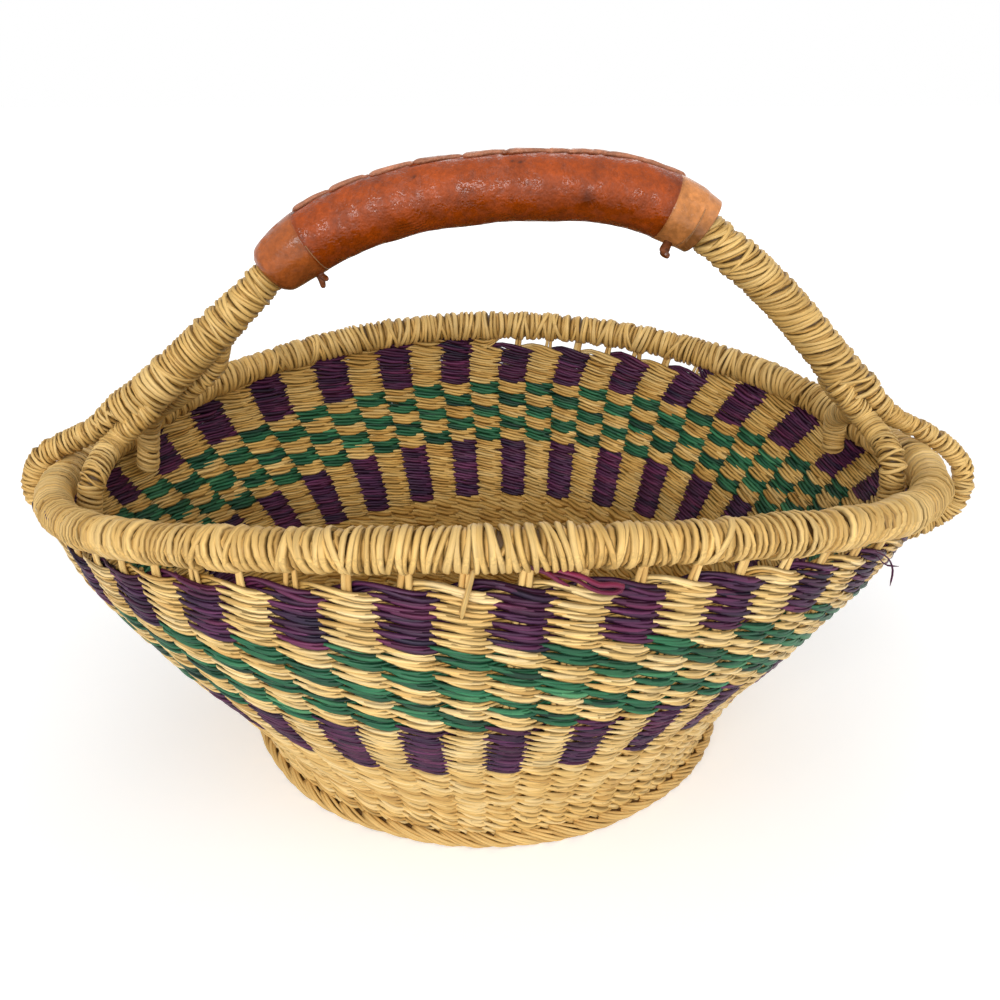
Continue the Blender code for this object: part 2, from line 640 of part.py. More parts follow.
def build_tie(collection, name, mark, material):
    """Loose end of the lacing, hanging from the seam of an end band."""
    lean = LIP_LEAN - TIE_ANGLE
    root = grip_place(mark, lean, GRIP_RADIUS + CLEARANCE)
    bend = grip_place(mark, lean, GRIP_RADIUS + 2 * TIE_RADIUS)
    tip = bend - Vector((0, 0, TIE_LENGTH - 2 * TIE_RADIUS))
    tube(collection, name, [root, bend, (bend + tip) / 2, tip], TIE_RADIUS, material)


def build_all():
    basket = start_collection("bolga_basket")
    grass = make_material("grass", GRASS, 0.7)
    pale = make_material("grass_pale", GRASS_PALE, 0.65)
    purple = make_material("purple_grass", PURPLE, 0.6)
    green = make_material("green_grass", GREEN, 0.6)
    leather = make_material("leather", LEATHER, 0.35)
    leather_pale = make_material("leather_pale", LEATHER_PALE, 0.4)

    build_foot(basket, grass)
    build_floor(basket, grass)
    build_band(basket, "wall_natural", 4, grass)
    build_band(basket, "band_lower_purple", 2, purple)
    build_band(basket, "band_green", 2, green)
    build_upper_band(basket, "band_upper_purple", 2, purple)
    build_rim(basket, pale)
    build_bundle(basket, grass)
    build_binding(basket, "handle_binding_left", 0.0, GRIP_START, LEFT_PITCH, pale)
    build_binding(basket, "handle_binding_right", GRIP_END, ARCH.length, RIGHT_PITCH, pale)
    build_legs(basket, pale)
    build_cover(basket, leather)
    build_collar(basket, "leather_collar_left", GRIP_START, 1, leather_pale)
    build_collar(basket, "leather_collar_right", GRIP_END, -1, leather_pale)
    build_lip(basket, leather)
    build_tie(basket, "leather_tie_left", GRIP_START + COLLAR_LENGTH, leather_pale)
    build_tie(basket, "leather_tie_right", GRIP_END - COLLAR_LENGTH, leather_pale)
    centre_on_length(basket)


build_all()
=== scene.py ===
"""Bolga basket: the looks of a flared grass basket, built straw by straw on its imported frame.

Every woven row is a pair of twined strands, the rim, handle and legs are wound straw by straw, and
the grip is a laced leather cover with two end bands.
"""
import math

import bpy
import numpy as np
from bpy.props import FloatProperty, FloatVectorProperty, IntProperty, PointerProperty
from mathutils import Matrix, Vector


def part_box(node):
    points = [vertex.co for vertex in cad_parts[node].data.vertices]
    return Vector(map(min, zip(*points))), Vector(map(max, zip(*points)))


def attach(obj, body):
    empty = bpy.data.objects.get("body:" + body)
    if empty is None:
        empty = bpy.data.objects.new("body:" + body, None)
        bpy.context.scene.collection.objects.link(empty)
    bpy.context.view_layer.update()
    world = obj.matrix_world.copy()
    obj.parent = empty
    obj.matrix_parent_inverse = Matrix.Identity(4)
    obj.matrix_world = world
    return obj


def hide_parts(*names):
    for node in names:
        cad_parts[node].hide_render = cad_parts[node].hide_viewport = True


bl_info = {
    "name": "Bolga Basket",
    "version": (1, 0, 0),
    "blender": (4, 5, 0),
    "location": "View3D > Sidebar > Basket",
    "description": "Twined grass basket with a bound rim and a leather grip",
    "category": "Object",
}

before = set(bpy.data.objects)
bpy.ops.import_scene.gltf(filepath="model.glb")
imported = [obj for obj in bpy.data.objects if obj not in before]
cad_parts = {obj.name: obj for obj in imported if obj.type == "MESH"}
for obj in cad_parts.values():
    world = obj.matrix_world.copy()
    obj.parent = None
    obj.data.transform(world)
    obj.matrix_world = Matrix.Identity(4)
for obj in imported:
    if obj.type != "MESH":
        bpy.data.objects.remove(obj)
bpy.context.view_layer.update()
MM = 0.001


def node_span(node, axis):
    low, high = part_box(node)
    return high[axis] - low[axis]


def node_middle(node, axis):
    low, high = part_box(node)
    return (high[axis] + low[axis]) / 2


# Sizes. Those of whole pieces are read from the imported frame, and most others are the ones that its
# pieces were made with
RIM_TUBE = 8.1 * MM
RIM_HALF_LENGTH = node_span("rim_binding", 0) / 2 - RIM_TUBE
RIM_HALF_WIDTH = node_span("rim_binding", 1) / 2 - RIM_TUBE
RIM_MIDDLE_X = node_middle("rim_binding", 0)
FOOT_RADIUS = node_span("foot_braid", 1) / 2
FOOT_MIDDLE_X = node_middle("foot_braid", 0)
FOOT_HEIGHT = node_span("foot_braid", 2)
PLAIT_WIDTH = 10 * MM
WALL_FOOT_RADIUS = FOOT_RADIUS - 2 * MM
WALL_THICKNESS = 6 * MM
WEAVE_HEIGHT = 132.3 * MM
RIM_HEIGHT = WEAVE_HEIGHT + 12.2 * MM
RIM_SADDLE = 14.3 * MM
RIM_LEAN = 1.6 * MM
RIM_DIP = 4.5 * MM
RIM_DIP_ANGLE = math.radians(16)
RIM_DIP_SPREAD = math.radians(13)
BAND_LEAN = 4.5 * MM
BODY_SHIFT = RIM_MIDDLE_X - FOOT_MIDDLE_X
ARCH_HALF_LENGTH = 170 * MM
ARCH_FOOT = RIM_HEIGHT + 11.5 * MM
ARCH_RISE = 100.4 * MM
STAKES = 60
# How far the stakes stand from their even places, at the top of the wall and low down: waves round
# the basket, with their cosine and sine parts in radians
STAKE_LEAD = ((0, 0.0221, 0.0000), (1, 0.0158, 0.0245), (2, -0.0100, -0.0356), (3, 0.0070, 0.0066))
STAKE_FOOT_LEAD = ((0, -0.0195, 0.0000), (1, 0.0272, -0.0136), (2, 0.0086, -0.0107))

# Wall outline, from the plait up: shares of the wall's height, of the way from its foot to the
# rim's oval along X and Y, and of the saddle, lean, shift and dip
WALL_HEIGHT_SHARES = (0.000, 0.098, 0.210, 0.371, 0.588, 0.845, 1.000)
WALL_FLARE_X_SHARES = (0.000, 0.035, 0.136, 0.278, 0.540, 0.860, 1.009)
WALL_FLARE_Y_SHARES = (0.000, 0.081, 0.319, 0.628, 1.056, 1.196, 1.111)
WALL_SADDLE_SHARES = (0.000, 0.035, 0.070, 0.140, 0.420, 0.700, 0.910)
WALL_LEAN_SHARES = (0.000, 0.110, 0.330, 0.900, 1.000, 0.670, 0.450)
WALL_SHIFT_SHARES = (1.000, 1.000, 1.000, 1.000, 0.900, 0.900, 0.480)
WALL_DIP_SHARES = (0.000, 0.000, 0.000, 0.000, 0.100, 0.400, 0.900)
# Centre line of the handle: shares of its half length and of its rise
ARCH_SHARES = ((-1.00, 0.000), (-0.84, 0.230), (-0.675, 0.479), (-0.50, 0.745), (-0.367, 0.865),
               (-0.24, 0.935), (-0.086, 0.980), (0.14, 1.000), (0.27, 0.990), (0.37, 0.957),
               (0.473, 0.885), (0.56, 0.785), (0.74, 0.540), (0.88, 0.294), (1.00, 0.065))
# Where the grip begins and ends, as shares of the handle's length
GRIP_SPAN_SHARES = (0.237, 0.727)

BINDING_RADIUS = 9.7 * MM
LEG_RADIUS = 5.8 * MM
LEG_SPREAD = 7.4 * MM
# How far a leg lies in the handle's bundle, and how far above the parting the early one leaves it
LEG_OVERLAP = 14 * MM
EARLY_LEAVE = 42 * MM
LEG_SEAT_SHARE = 0.93
# Points of an outer leg round the rim: quarter turns up from level, and shares of its slack
LOOP_TURN_SHARES = ((0.90, 0.00), (0.45, 0.00), (0.10, 0.22), (-0.20, 0.62), (-0.48, 0.94),
                    (-0.75, 1.00))
# Where the legs lie round the handle's parting, across and outward, as shares of the spread
INNER_LEG_SHARES = (0.95, -0.70)
OUTER_LEG_SHARE = 0.60
OUTER_LEG_RUN = 14 * MM
GRIP_RADIUS = 14.4 * MM

# Shades of each colour, as shares of it from dark to light, and where their middle lies
SHADES = {
    "straw": (((0.50, 0.40, 0.25), (0.86, 0.76, 0.60), (1.12, 1.12, 1.08), (1.26, 1.40, 1.80)),
              0.36),
    "binding": (((0.55, 0.46, 0.30), (0.86, 0.78, 0.64), (1.06, 1.04, 1.00), (1.20, 1.27, 1.50)),
                0.30),
    "purple": (((0.18, 0.28, 0.40), (0.66, 0.60, 0.74), (1.15, 0.92, 1.06), (2.10, 1.80, 1.80)),
               -0.12),
    "green": (((0.20, 0.22, 0.28), (0.60, 0.66, 0.66), (1.15, 1.10, 1.05), (4.40, 2.20, 2.20)),
              -0.20),
}
# Core under the windings and in the foot's plait: a dark tube of painted shade, seen in the gaps
# between straws
CORE_PAINTED_SHADE = (0.13, 0.065, 0.018)
LOOSE_SHADE = (0.22, 0.022, 0.07)
THREAD_SHADE = (0.38, 0.19, 0.08)
# Colour that natural straw is drawn toward: painted shade where it lies inside the wall and on the
# floor, and a browner tone on the natural band and the foot
SHADE_AND_BROWNING = (0.86, 0.78, 0.58)
# Lip paler and pinker than the bands: painted light where it faces up
LIP_PAINTED_LIGHT = (0.95, 1.00, 1.90)
TIE_TINT = (0.70, 1.0, 1.6)
WHITE = (1.0, 1.0, 1.0, 1.0)
# Seeds of the random draws. The bands have theirs in their own table
SEEDS = {"stakes": 21, "rim": 31, "handle_left": 41, "handle_right": 42, "legs": 51, "foot": 61,
         "floor": 71, "leather": 81, "lip": 83}
# What a sheaf keeps of each straw
SHEAF_PARTS = ("paths", "across", "outward", "half_width", "half_depth", "colours")
STAKE_HALF_DEPTH = 0.8 * MM


class BasketSizes(bpy.types.PropertyGroup):
    """Sizes of the straws and the leather"""
    weave_relief: FloatProperty(
        name="Weave Relief", description="How far a woven strand swings out past the stakes",
        default=1.5 * MM, min=0.3 * MM, max=3.0 * MM, unit="LENGTH")
    straws: IntProperty(
        name="Straws In A Strand", description="Straws side by side in one woven strand",
        default=3, min=1, max=5)
    rim_straw: FloatProperty(
        name="Rim Straw", description="Width of the straw wound on the rim",
        default=2.9 * MM, min=1.0 * MM, max=5.0 * MM, unit="LENGTH")
    handle_straw: FloatProperty(
        name="Handle Straw", description="Width of the straw wound on the handle",
        default=2.5 * MM, min=1.0 * MM, max=5.0 * MM, unit="LENGTH")
    leg_straw: FloatProperty(
        name="Leg Straw", description="Width of the straw wound on the legs",
        default=2.1 * MM, min=1.0 * MM, max=5.0 * MM, unit="LENGTH")
    leather: FloatProperty(
        name="Leather", description="Thickness of the grip's leather",
        default=1.4 * MM, min=0.5 * MM, max=3.0 * MM, unit="LENGTH")


class BasketColours(bpy.types.PropertyGroup):
    """Colours of the straws and the leather"""
    straw: FloatVectorProperty(
        name="Straw", description="Natural straw of the weave", subtype="COLOR",
        default=(0.79, 0.53, 0.20), min=0.0, max=1.0)
    binding: FloatVectorProperty(
        name="Binding", description="Natural straw wound on the rim and handle", subtype="COLOR",
        default=(0.80, 0.52, 0.172), min=0.0, max=1.0)
    purple: FloatVectorProperty(
        name="Purple", description="Purple straw of the blocks", subtype="COLOR",
        default=(0.086, 0.0185, 0.064), min=0.0, max=1.0)
    green: FloatVectorProperty(
        name="Green", description="Green straw of the middle band", subtype="COLOR",
        default=(0.024, 0.156, 0.069), min=0.0, max=1.0)
    leather: FloatVectorProperty(
        name="Leather", description="Leather of the grip", subtype="COLOR",
        default=(0.325, 0.051, 0.002), min=0.0, max=1.0)
    band: FloatVectorProperty(
        name="End Bands", description="Paler leather of the grip's end bands", subtype="COLOR",
        default=(0.62, 0.235, 0.066), min=0.0, max=1.0)


def sizes():
    return bpy.context.scene.basket_sizes


def colours():
    return bpy.context.scene.basket_colours


def palette(name):
    """Shades of one of the colours, from dark to light, and where their middle lies."""
    shades, middle = SHADES[name]
    return np.array(shades) * np.array(getattr(colours(), name)), middle


def smooth(xs, ys, x):
    """Cubic curve through the points that never overshoots them."""
    xs, ys = np.asarray(xs, float), np.asarray(ys, float)
    step = np.diff(xs)
    slope = np.diff(ys) / step
    tangent = np.zeros_like(ys)
    same_sign = slope[:-1] * slope[1:] > 0
    mean = 2 * slope[:-1] * slope[1:] / np.where(same_sign, slope[:-1] + slope[1:], 1.0)
    tangent[1:-1] = np.where(same_sign, mean, 0.0)
    tangent[0], tangent[-1] = slope[0], slope[-1]
    x = np.asarray(x, float)
    inside = np.clip(x, xs[0], xs[-1])
    k = np.clip(np.searchsorted(xs, inside, side="right") - 1, 0, len(step) - 1)
    u = (inside - xs[k]) / step[k]
    start = (1 + 2 * u) * (1 - u) ** 2 * ys[k] + u * (1 - u) ** 2 * step[k] * tangent[k]
    end = u * u * (3 - 2 * u) * ys[k + 1] + u * u * (u - 1) * step[k] * tangent[k + 1]
    beyond = (x - inside) * np.where(x > xs[-1], tangent[-1], tangent[0])
    return start + end + beyond


def rim_dip(angle):
    total = 0.0
    for centre in (RIM_DIP_ANGLE, math.pi - RIM_DIP_ANGLE):
        away = (angle - centre + math.pi) % (2 * math.pi) - math.pi
        total = total + np.exp(-(away / RIM_DIP_SPREAD) ** 2)
    return total


def rim_centre(angle):
    """Centre line of the rim at angles round the oval."""
    angle = np.asarray(angle, float)
    height = RIM_HEIGHT - RIM_SADDLE * np.cos(2 * angle) + RIM_LEAN * np.cos(angle)
    height = height - RIM_DIP * rim_dip(angle)
    return np.stack([RIM_MIDDLE_X + RIM_HALF_LENGTH * np.cos(angle), RIM_HALF_WIDTH * np.sin(angle),
                     height], axis=-1)


def wall_place(share, angle, inset):
    """Point of the wall at a share of its height, set level into it by inset."""
    share, angle = np.broadcast_arrays(np.asarray(share, float), np.asarray(angle, float))

    def level(shares):
        return smooth(WALL_HEIGHT_SHARES, shares, share)

    foot = WALL_FOOT_RADIUS
    half_length = foot + level(WALL_FLARE_X_SHARES) * (RIM_HALF_LENGTH - foot)
    half_width = foot + level(WALL_FLARE_Y_SHARES) * (RIM_HALF_WIDTH - foot)
    height = FOOT_HEIGHT + share * (WEAVE_HEIGHT - FOOT_HEIGHT)
    height = height - RIM_SADDLE * level(WALL_SADDLE_SHARES) * np.cos(2 * angle)
    height = height + BAND_LEAN * level(WALL_LEAN_SHARES) * np.cos(angle)
    height = height - RIM_DIP * level(WALL_DIP_SHARES) * rim_dip(angle)
    middle = RIM_MIDDLE_X - BODY_SHIFT * level(WALL_SHIFT_SHARES)
    return np.stack([middle + (half_length - inset) * np.cos(angle),
                     (half_width - inset) * np.sin(angle), height], axis=-1)


def unit(vectors):
    return vectors / np.linalg.norm(vectors, axis=-1, keepdims=True)


def wall_frame(share, angle):
    """Middle of the wall, with its outward and upward directions, and metres per unit of share."""
    inset = WALL_THICKNESS / 2
    around = wall_place(share, angle + 0.01, inset) - wall_place(share, angle - 0.01, inset)
    upward = wall_place(share + 0.005, angle, inset) - wall_place(share - 0.005, angle, inset)
    outward = unit(np.cross(around, upward))
    reach = np.linalg.norm(upward, axis=-1) / 0.01
    return wall_place(share, angle, inset), outward, unit(np.cross(outward, around)), reach


def stake_turn(place, share=1.0):
    """Angle round the basket at a place counted in stakes from the middle of the front. The stakes
    stand less evenly at the top of the wall than low down."""
    turn = 2 * math.pi * np.asarray(place, float) / STAKES

    def lead(parts):
        return sum(c * np.cos(times * turn) + s * np.sin(times * turn) for times, c, s in parts)

    mix = np.clip((np.asarray(share, float) - 0.40) / 0.45, 0.0, 1.0)
    return turn - math.pi / 2 + mix * lead(STAKE_LEAD) + (1 - mix) * lead(STAKE_FOOT_LEAD)


class Wobble:
    """Smooth, repeatable unevenness of hand work, for any number of straws at once."""

    def __init__(self, seed):
        self.random = np.random.default_rng(seed)

    def along(self, straws, places, spacing, closed=False):
        """Values near -1 to 1 that change over about spacing places, one row for each straw."""
        count = max(4, int(round((places[-1] - places[0]) / spacing)) + 1)
        knots = self.random.uniform(-1, 1, (straws, count + 3))
        if closed:
            knots[:, -3:] = knots[:, :3]
        span = (places - places[0]) / (places[-1] - places[0]) * count
        low = np.minimum(span.astype(int), count - 1)
        part = span - low
        weights = [(1 - part) ** 3 / 6, (3 * part ** 3 - 6 * part ** 2 + 4) / 6,
                   (-3 * part ** 3 + 3 * part ** 2 + 3 * part + 1) / 6, part ** 3 / 6]
        return 1.6 * sum(w * knots[:, low + i] for i, w in enumerate(weights))

    def each(self, *shape):
        return self.random.uniform(-1, 1, shape)


def blend_colours(shades, mix):
    """Colour between the shades of a dye, which mix runs through from -1 to 1."""
    shades = np.asarray(shades)
    place = np.clip((mix + 1) / 2, 0, 0.9999) * (len(shades) - 1)
    low = place.astype(int)
    part = (place - low)[..., None]
    return shades[low] * (1 - part) + shades[low + 1] * part


def bundle(paths, across, outward, half_width, half_depth, colours, sides, closed, edge=0.34):
    """Straws of one kind. Paths, directions and colours have a row for each straw and a point for
    each ring. Each straw is a flattened tube, with painted shade darkening it by a share toward its
    two edges, where it meets its neighbours."""
    paths, across, outward, colours = (
        np.asarray(each, float) for each in (paths, across, outward, colours))
    straws, rings = paths.shape[:2]
    turns = 2 * math.pi * np.arange(sides) / sides
    half_width = np.broadcast_to(half_width, (straws, rings))[..., None, None]
    half_depth = np.broadcast_to(half_depth, (straws, rings))[..., None, None]
    verts = (paths[:, :, None] + half_width * np.cos(turns)[:, None] * across[:, :, None]
             + half_depth * np.sin(turns)[:, None] * outward[:, :, None])
    index = np.arange(straws * rings * sides).reshape(straws, rings, sides)
    ahead = np.roll(index, -1, axis=1)
    quads = np.stack([index, np.roll(index, -1, axis=2), np.roll(ahead, -1, axis=2), ahead],
                     axis=-1)
    # Straws whose directions are left-handed have their faces turned over, so that all face out
    handed = (np.cross(across, outward)[:, :-1] * np.diff(paths, axis=1)).sum(axis=(1, 2)) < 0
    quads[handed] = quads[handed][..., ::-1]
    caps = np.zeros((0, sides), int)
    if not closed:
        quads = quads[:, :-1]
        caps = np.concatenate([index[:, 0, ::-1], index[:, -1, :]])
        caps[np.tile(handed, 2)] = caps[np.tile(handed, 2)][..., ::-1]
    steps = np.linalg.norm(np.diff(paths, axis=1), axis=2)
    length = np.concatenate([np.zeros((straws, 1)), np.cumsum(steps, axis=1)], axis=1)
    length = length + np.arange(straws)[:, None] * 0.37
    uv = np.stack(np.broadcast_arrays(length[:, :, None], np.arange(sides) / sides), axis=-1)
    rgba = np.ones((straws, rings, sides, 4))
    # Painted shade: each straw darker by the edge share toward its two edges
    rgba[..., :3] = colours[:, :, None, :] * (1 - edge * np.cos(turns) ** 2)[:, None]
    return verts.reshape(-1, 3), quads.reshape(-1, 4), caps, rgba.reshape(-1, 4), uv.reshape(-1, 2)


def one_straw(path, across, outward, half_width, half_depth, colour, sides, closed=False,
              edge=0.34):
    """A bundle of one straw. Its colour is one for all its rings or one for each."""
    colours = np.broadcast_to(colour, path.shape)
    return bundle(path[None], across[None], outward[None], half_width, half_depth, colours[None],
                  sides, closed, edge)


def new_sheaf():
    return {key: [] for key in SHEAF_PARTS}


def lay(sheaf, *parts):
    """Add one straw to a sheaf: its path, directions across and outward, half sizes and colours."""
    for key, part in zip(SHEAF_PARTS, parts):
        sheaf[key].append(part)


def straw_mesh(name, bundles):
    """One mesh of the bundles, with their colours, painted shade included, in the dye attribute."""
    verts, corners, lengths, dyes, uvs = [], [], [], [], []
    count = 0
    for places, quads, caps, rgba, uv in bundles:
        verts.append(places)
        dyes.append(rgba)
        uvs.append(uv)
        for faces in (quads, caps):
            corners.append((faces + count).reshape(-1))
            lengths.append(np.full(len(faces), faces.shape[1]))
        count += len(places)
    verts, corners, lengths = (np.concatenate(each) for each in (verts, corners, lengths))
    mesh = bpy.data.meshes.new(name)
    mesh.vertices.add(len(verts))
    mesh.vertices.foreach_set("co", verts.reshape(-1))
    mesh.loops.add(len(corners))
    mesh.loops.foreach_set("vertex_index", corners)
    mesh.polygons.add(len(lengths))
    mesh.polygons.foreach_set("loop_start", np.cumsum(lengths) - lengths)
    mesh.polygons.foreach_set("use_smooth", np.ones(len(lengths), bool))
    mesh.update(calc_edges=True)
    dye = mesh.attributes.new("dye", "FLOAT_COLOR", "POINT")
    dye.data.foreach_set("color", np.concatenate(dyes).astype(np.float32).reshape(-1))
    layer = mesh.uv_layers.new(name="UVMap")
    layer.data.foreach_set("uv", np.concatenate(uvs)[corners].astype(np.float32).reshape(-1))
    mesh.validate()
    return mesh


class Route:
    """Smooth path through points, read by length, with a steady frame along it."""

    def __init__(self, points, steps=24, side=(0.0, 1.0, 0.0)):
        points = np.array(points, float)
        spans = np.linalg.norm(np.diff(points, axis=0), axis=1)
        slopes = np.diff(points, axis=0) / spans[:, None]
        inner = slopes[:-1] * spans[1:, None] + slopes[1:] * spans[:-1, None]
        inner = inner / (spans[:-1] + spans[1:])[:, None]
        turns = np.vstack([slopes[:1], inner, slopes[-1:]])
        u = (np.arange(steps) / steps)[None, :, None]
        span = spans[:, None, None]
        places = ((1 + 2 * u) * (1 - u) ** 2 * points[:-1, None]
                  + u * u * (3 - 2 * u) * points[1:, None])
        places = places + span * u * (1 - u) * ((1 - u) * turns[:-1, None] - u * turns[1:, None])
        self.places = np.vstack([places.reshape(-1, 3), points[-1:]])
        gaps = np.linalg.norm(np.diff(self.places, axis=0), axis=1)
        self.marks = np.concatenate([[0.0], np.cumsum(gaps)])
        self.length = self.marks[-1]
        along = unit(np.gradient(self.places, self.marks, axis=0))
        side = np.array(side)
        sides = []
        for direction in along:
            side = side - side.dot(direction) * direction
            side = side / np.linalg.norm(side)
            sides.append(side)
        self.along, self.sides = along, np.array(sides)

    def read(self, values, distance):
        return np.stack([np.interp(distance, self.marks, values[:, i]) for i in range(3)], axis=-1)

    def point(self, distance):
        """Point at a distance, straight on past the ends."""
        over = distance - np.clip(distance, 0.0, self.length)
        return self.read(self.places, distance) + over[..., None] * self.read(self.along, distance)

    def frame(self, distance):
        """Point, direction along, level direction to the side, and direction outward."""
        distance = np.asarray(distance, float)
        along = unit(self.read(self.along, distance))
        side = self.read(self.sides, distance)
        side = unit(side - (side * along).sum(-1, keepdims=True) * along)
        return self.point(distance), along, side, np.cross(along, side)


ARCH = Route([(RIM_MIDDLE_X + x * ARCH_HALF_LENGTH, 0.0, ARCH_FOOT + z * ARCH_RISE)
              for x, z in ARCH_SHARES])
GRIP_START = GRIP_SPAN_SHARES[0] * ARCH.length
GRIP_END = GRIP_SPAN_SHARES[1] * ARCH.length


def dress(piece, material, slot, *nodes):
    """Give a piece its material, and put it on the basket's one body in place of the nodes that are
    named. Its slot is not used."""
    piece.data.materials.append(get_material(material))
    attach(piece, "root")
    if nodes:
        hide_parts(*nodes)


def add_straws(name, bundles, material, slot, *nodes):
    """Put bundles of straws in the scene as one piece."""
    piece = bpy.data.objects.new(name, straw_mesh(name, bundles))
    bpy.context.scene.collection.objects.link(piece)
    dress(piece, material, slot, *nodes)


def add_node(tree, kind, inputs=(), **settings):
    """Add a node with its settings, and set each input or link it from a socket."""
    node = tree.nodes.new(kind)
    for name, value in settings.items():
        setattr(node, name, value)
    for name, value in dict(inputs).items():
        if isinstance(value, bpy.types.NodeSocket):
            tree.links.new(value, node.inputs[name])
        else:
            node.inputs[name].default_value = value
    return node


def calculate(tree, operation, first, second):
    return add_node(tree, "ShaderNodeMath", {0: first, 1: second}, operation=operation).outputs[0]


def weighted(tree, *parts):
    """Sum of values, each times its weight."""
    total = None
    for value, weight in parts:
        part = calculate(tree, "MULTIPLY", value, weight)
        total = part if total is None else calculate(tree, "ADD", total, part)
    return total


def noise(tree, vector, scale, detail):
    inputs = {"Vector": vector, "Scale": scale, "Detail": detail}
    return add_node(tree, "ShaderNodeTexNoise", inputs).outputs[0]


def object_place(tree):
    return add_node(tree, "ShaderNodeTexCoord").outputs["Object"]


def map_range(tree, value, low, high, to_low, to_high):
    inputs = {"Value": value, "From Min": low, "From Max": high, "To Min": to_low,
              "To Max": to_high}
    return add_node(tree, "ShaderNodeMapRange", inputs).outputs[0]


def new_group(name, inputs, outputs):
    """Node group with numbers in and out, and its two end nodes."""
    group = bpy.data.node_groups.new(name, "ShaderNodeTree")
    for label, value in inputs.items():
        socket = group.interface.new_socket(label, in_out="INPUT", socket_type="NodeSocketFloat")
        socket.default_value = value
    for label in outputs:
        group.interface.new_socket(label, in_out="OUTPUT", socket_type="NodeSocketFloat")
    return group, group.nodes.new("NodeGroupInput"), group.nodes.new("NodeGroupOutput")


def fibre_group():
    """Streaks that run along a straw, for its colour, gloss and relief."""
    name = "Straw Fibre"
    if name in bpy.data.node_groups:
        return bpy.data.node_groups[name]
    group, ins, outs = new_group(name, {"Streak Length": 60.0, "Streaks Round": 7.0},
                                 ("Shade", "Height"))
    uv = add_node(group, "ShaderNodeUVMap", uv_map="UVMap")
    split = add_node(group, "ShaderNodeSeparateXYZ", {0: uv.outputs[0]})
    along = calculate(group, "MULTIPLY", split.outputs[0], ins.outputs["Streak Length"])
    around = calculate(group, "MULTIPLY", split.outputs[1], ins.outputs["Streaks Round"])
    join = add_node(group, "ShaderNodeCombineXYZ", {0: along, 1: around})
    streak = noise(group, join.outputs[0], 1.0, 3.0)
    patch = noise(group, object_place(group), 90.0, 2.0)
    group.links.new(weighted(group, (streak, 0.75), (patch, 0.25)), outs.inputs["Shade"])
    group.links.new(streak, outs.inputs["Height"])
    return group


def hide_group():
    """Grain of the leather: fine pebbles, mottles and worn places."""
    name = "Leather Grain"
    if name in bpy.data.node_groups:
        return bpy.data.node_groups[name]
    group, ins, outs = new_group(name, {"Pebble Scale": 1100.0, "Mottle Scale": 90.0},
                                 ("Height", "Mottle", "Rubbed"))
    place, broad = object_place(group), ins.outputs["Mottle Scale"]
    inputs = {"Vector": place, "Scale": ins.outputs["Pebble Scale"]}
    pebble = add_node(group, "ShaderNodeTexVoronoi", inputs, feature="SMOOTH_F1")
    fine = noise(group, place, calculate(group, "MULTIPLY", broad, 5.0), 4.0)
    mottle = noise(group, place, broad, 3.0)
    rubbed = noise(group, place, calculate(group, "MULTIPLY", broad, 2.2), 2.0)
    height = weighted(group, (pebble.outputs["Distance"], -0.30), (fine, 0.42), (mottle, 1.6))
    group.links.new(height, outs.inputs["Height"])
    group.links.new(weighted(group, (mottle, 0.5), (fine, 0.5)), outs.inputs["Mottle"])
    group.links.new(rubbed, outs.inputs["Rubbed"])
    return group


def new_material(name, roughness, specular):
    """Material with a node tree and its Principled shader."""
    material = bpy.data.materials.new(name)
    material.use_nodes = True
    shader = material.node_tree.nodes["Principled BSDF"]
    shader.inputs["Roughness"].default_value = roughness
    shader.inputs["Specular IOR Level"].default_value = specular
    return material, material.node_tree, shader


def dye_shader(tree, shader, brightness, roughness, height, strength, distance):
    """Colour from the dye attribute, painted shade included, times a brightness, a roughness, and
    relief from a height.
    """
    dye = add_node(tree, "ShaderNodeAttribute", attribute_name="dye")
    tint = add_node(tree, "ShaderNodeVectorMath", operation="SCALE")
    tree.links.new(dye.outputs["Color"], tint.inputs[0])
    tree.links.new(brightness, tint.inputs["Scale"])
    bump = add_node(tree, "ShaderNodeBump",
                    {"Strength": strength, "Distance": distance, "Height": height})
    tree.links.new(tint.outputs[0], shader.inputs["Base Color"])
    tree.links.new(roughness, shader.inputs["Roughness"])
    tree.links.new(bump.outputs[0], shader.inputs["Normal"])


def straw_material(name, roughness, specular, contrast, streaks_round):
    """Dyed or natural straw, streaked along the fibre."""
    material, tree, shader = new_material(name, roughness, specular)
    fibre = add_node(tree, "ShaderNodeGroup", node_tree=fibre_group())
    fibre.inputs["Streaks Round"].default_value = streaks_round
    shade = fibre.outputs["Shade"]
    brightness = map_range(tree, shade, 0.3, 0.7, 1.0 - contrast, 1.0 + contrast * 0.6)
    gloss = map_range(tree, shade, 0.3, 0.7, roughness + 0.12, roughness - 0.08)
    dye_shader(tree, shader, brightness, gloss, fibre.outputs["Height"], 0.5, 0.25 * MM)
    return material


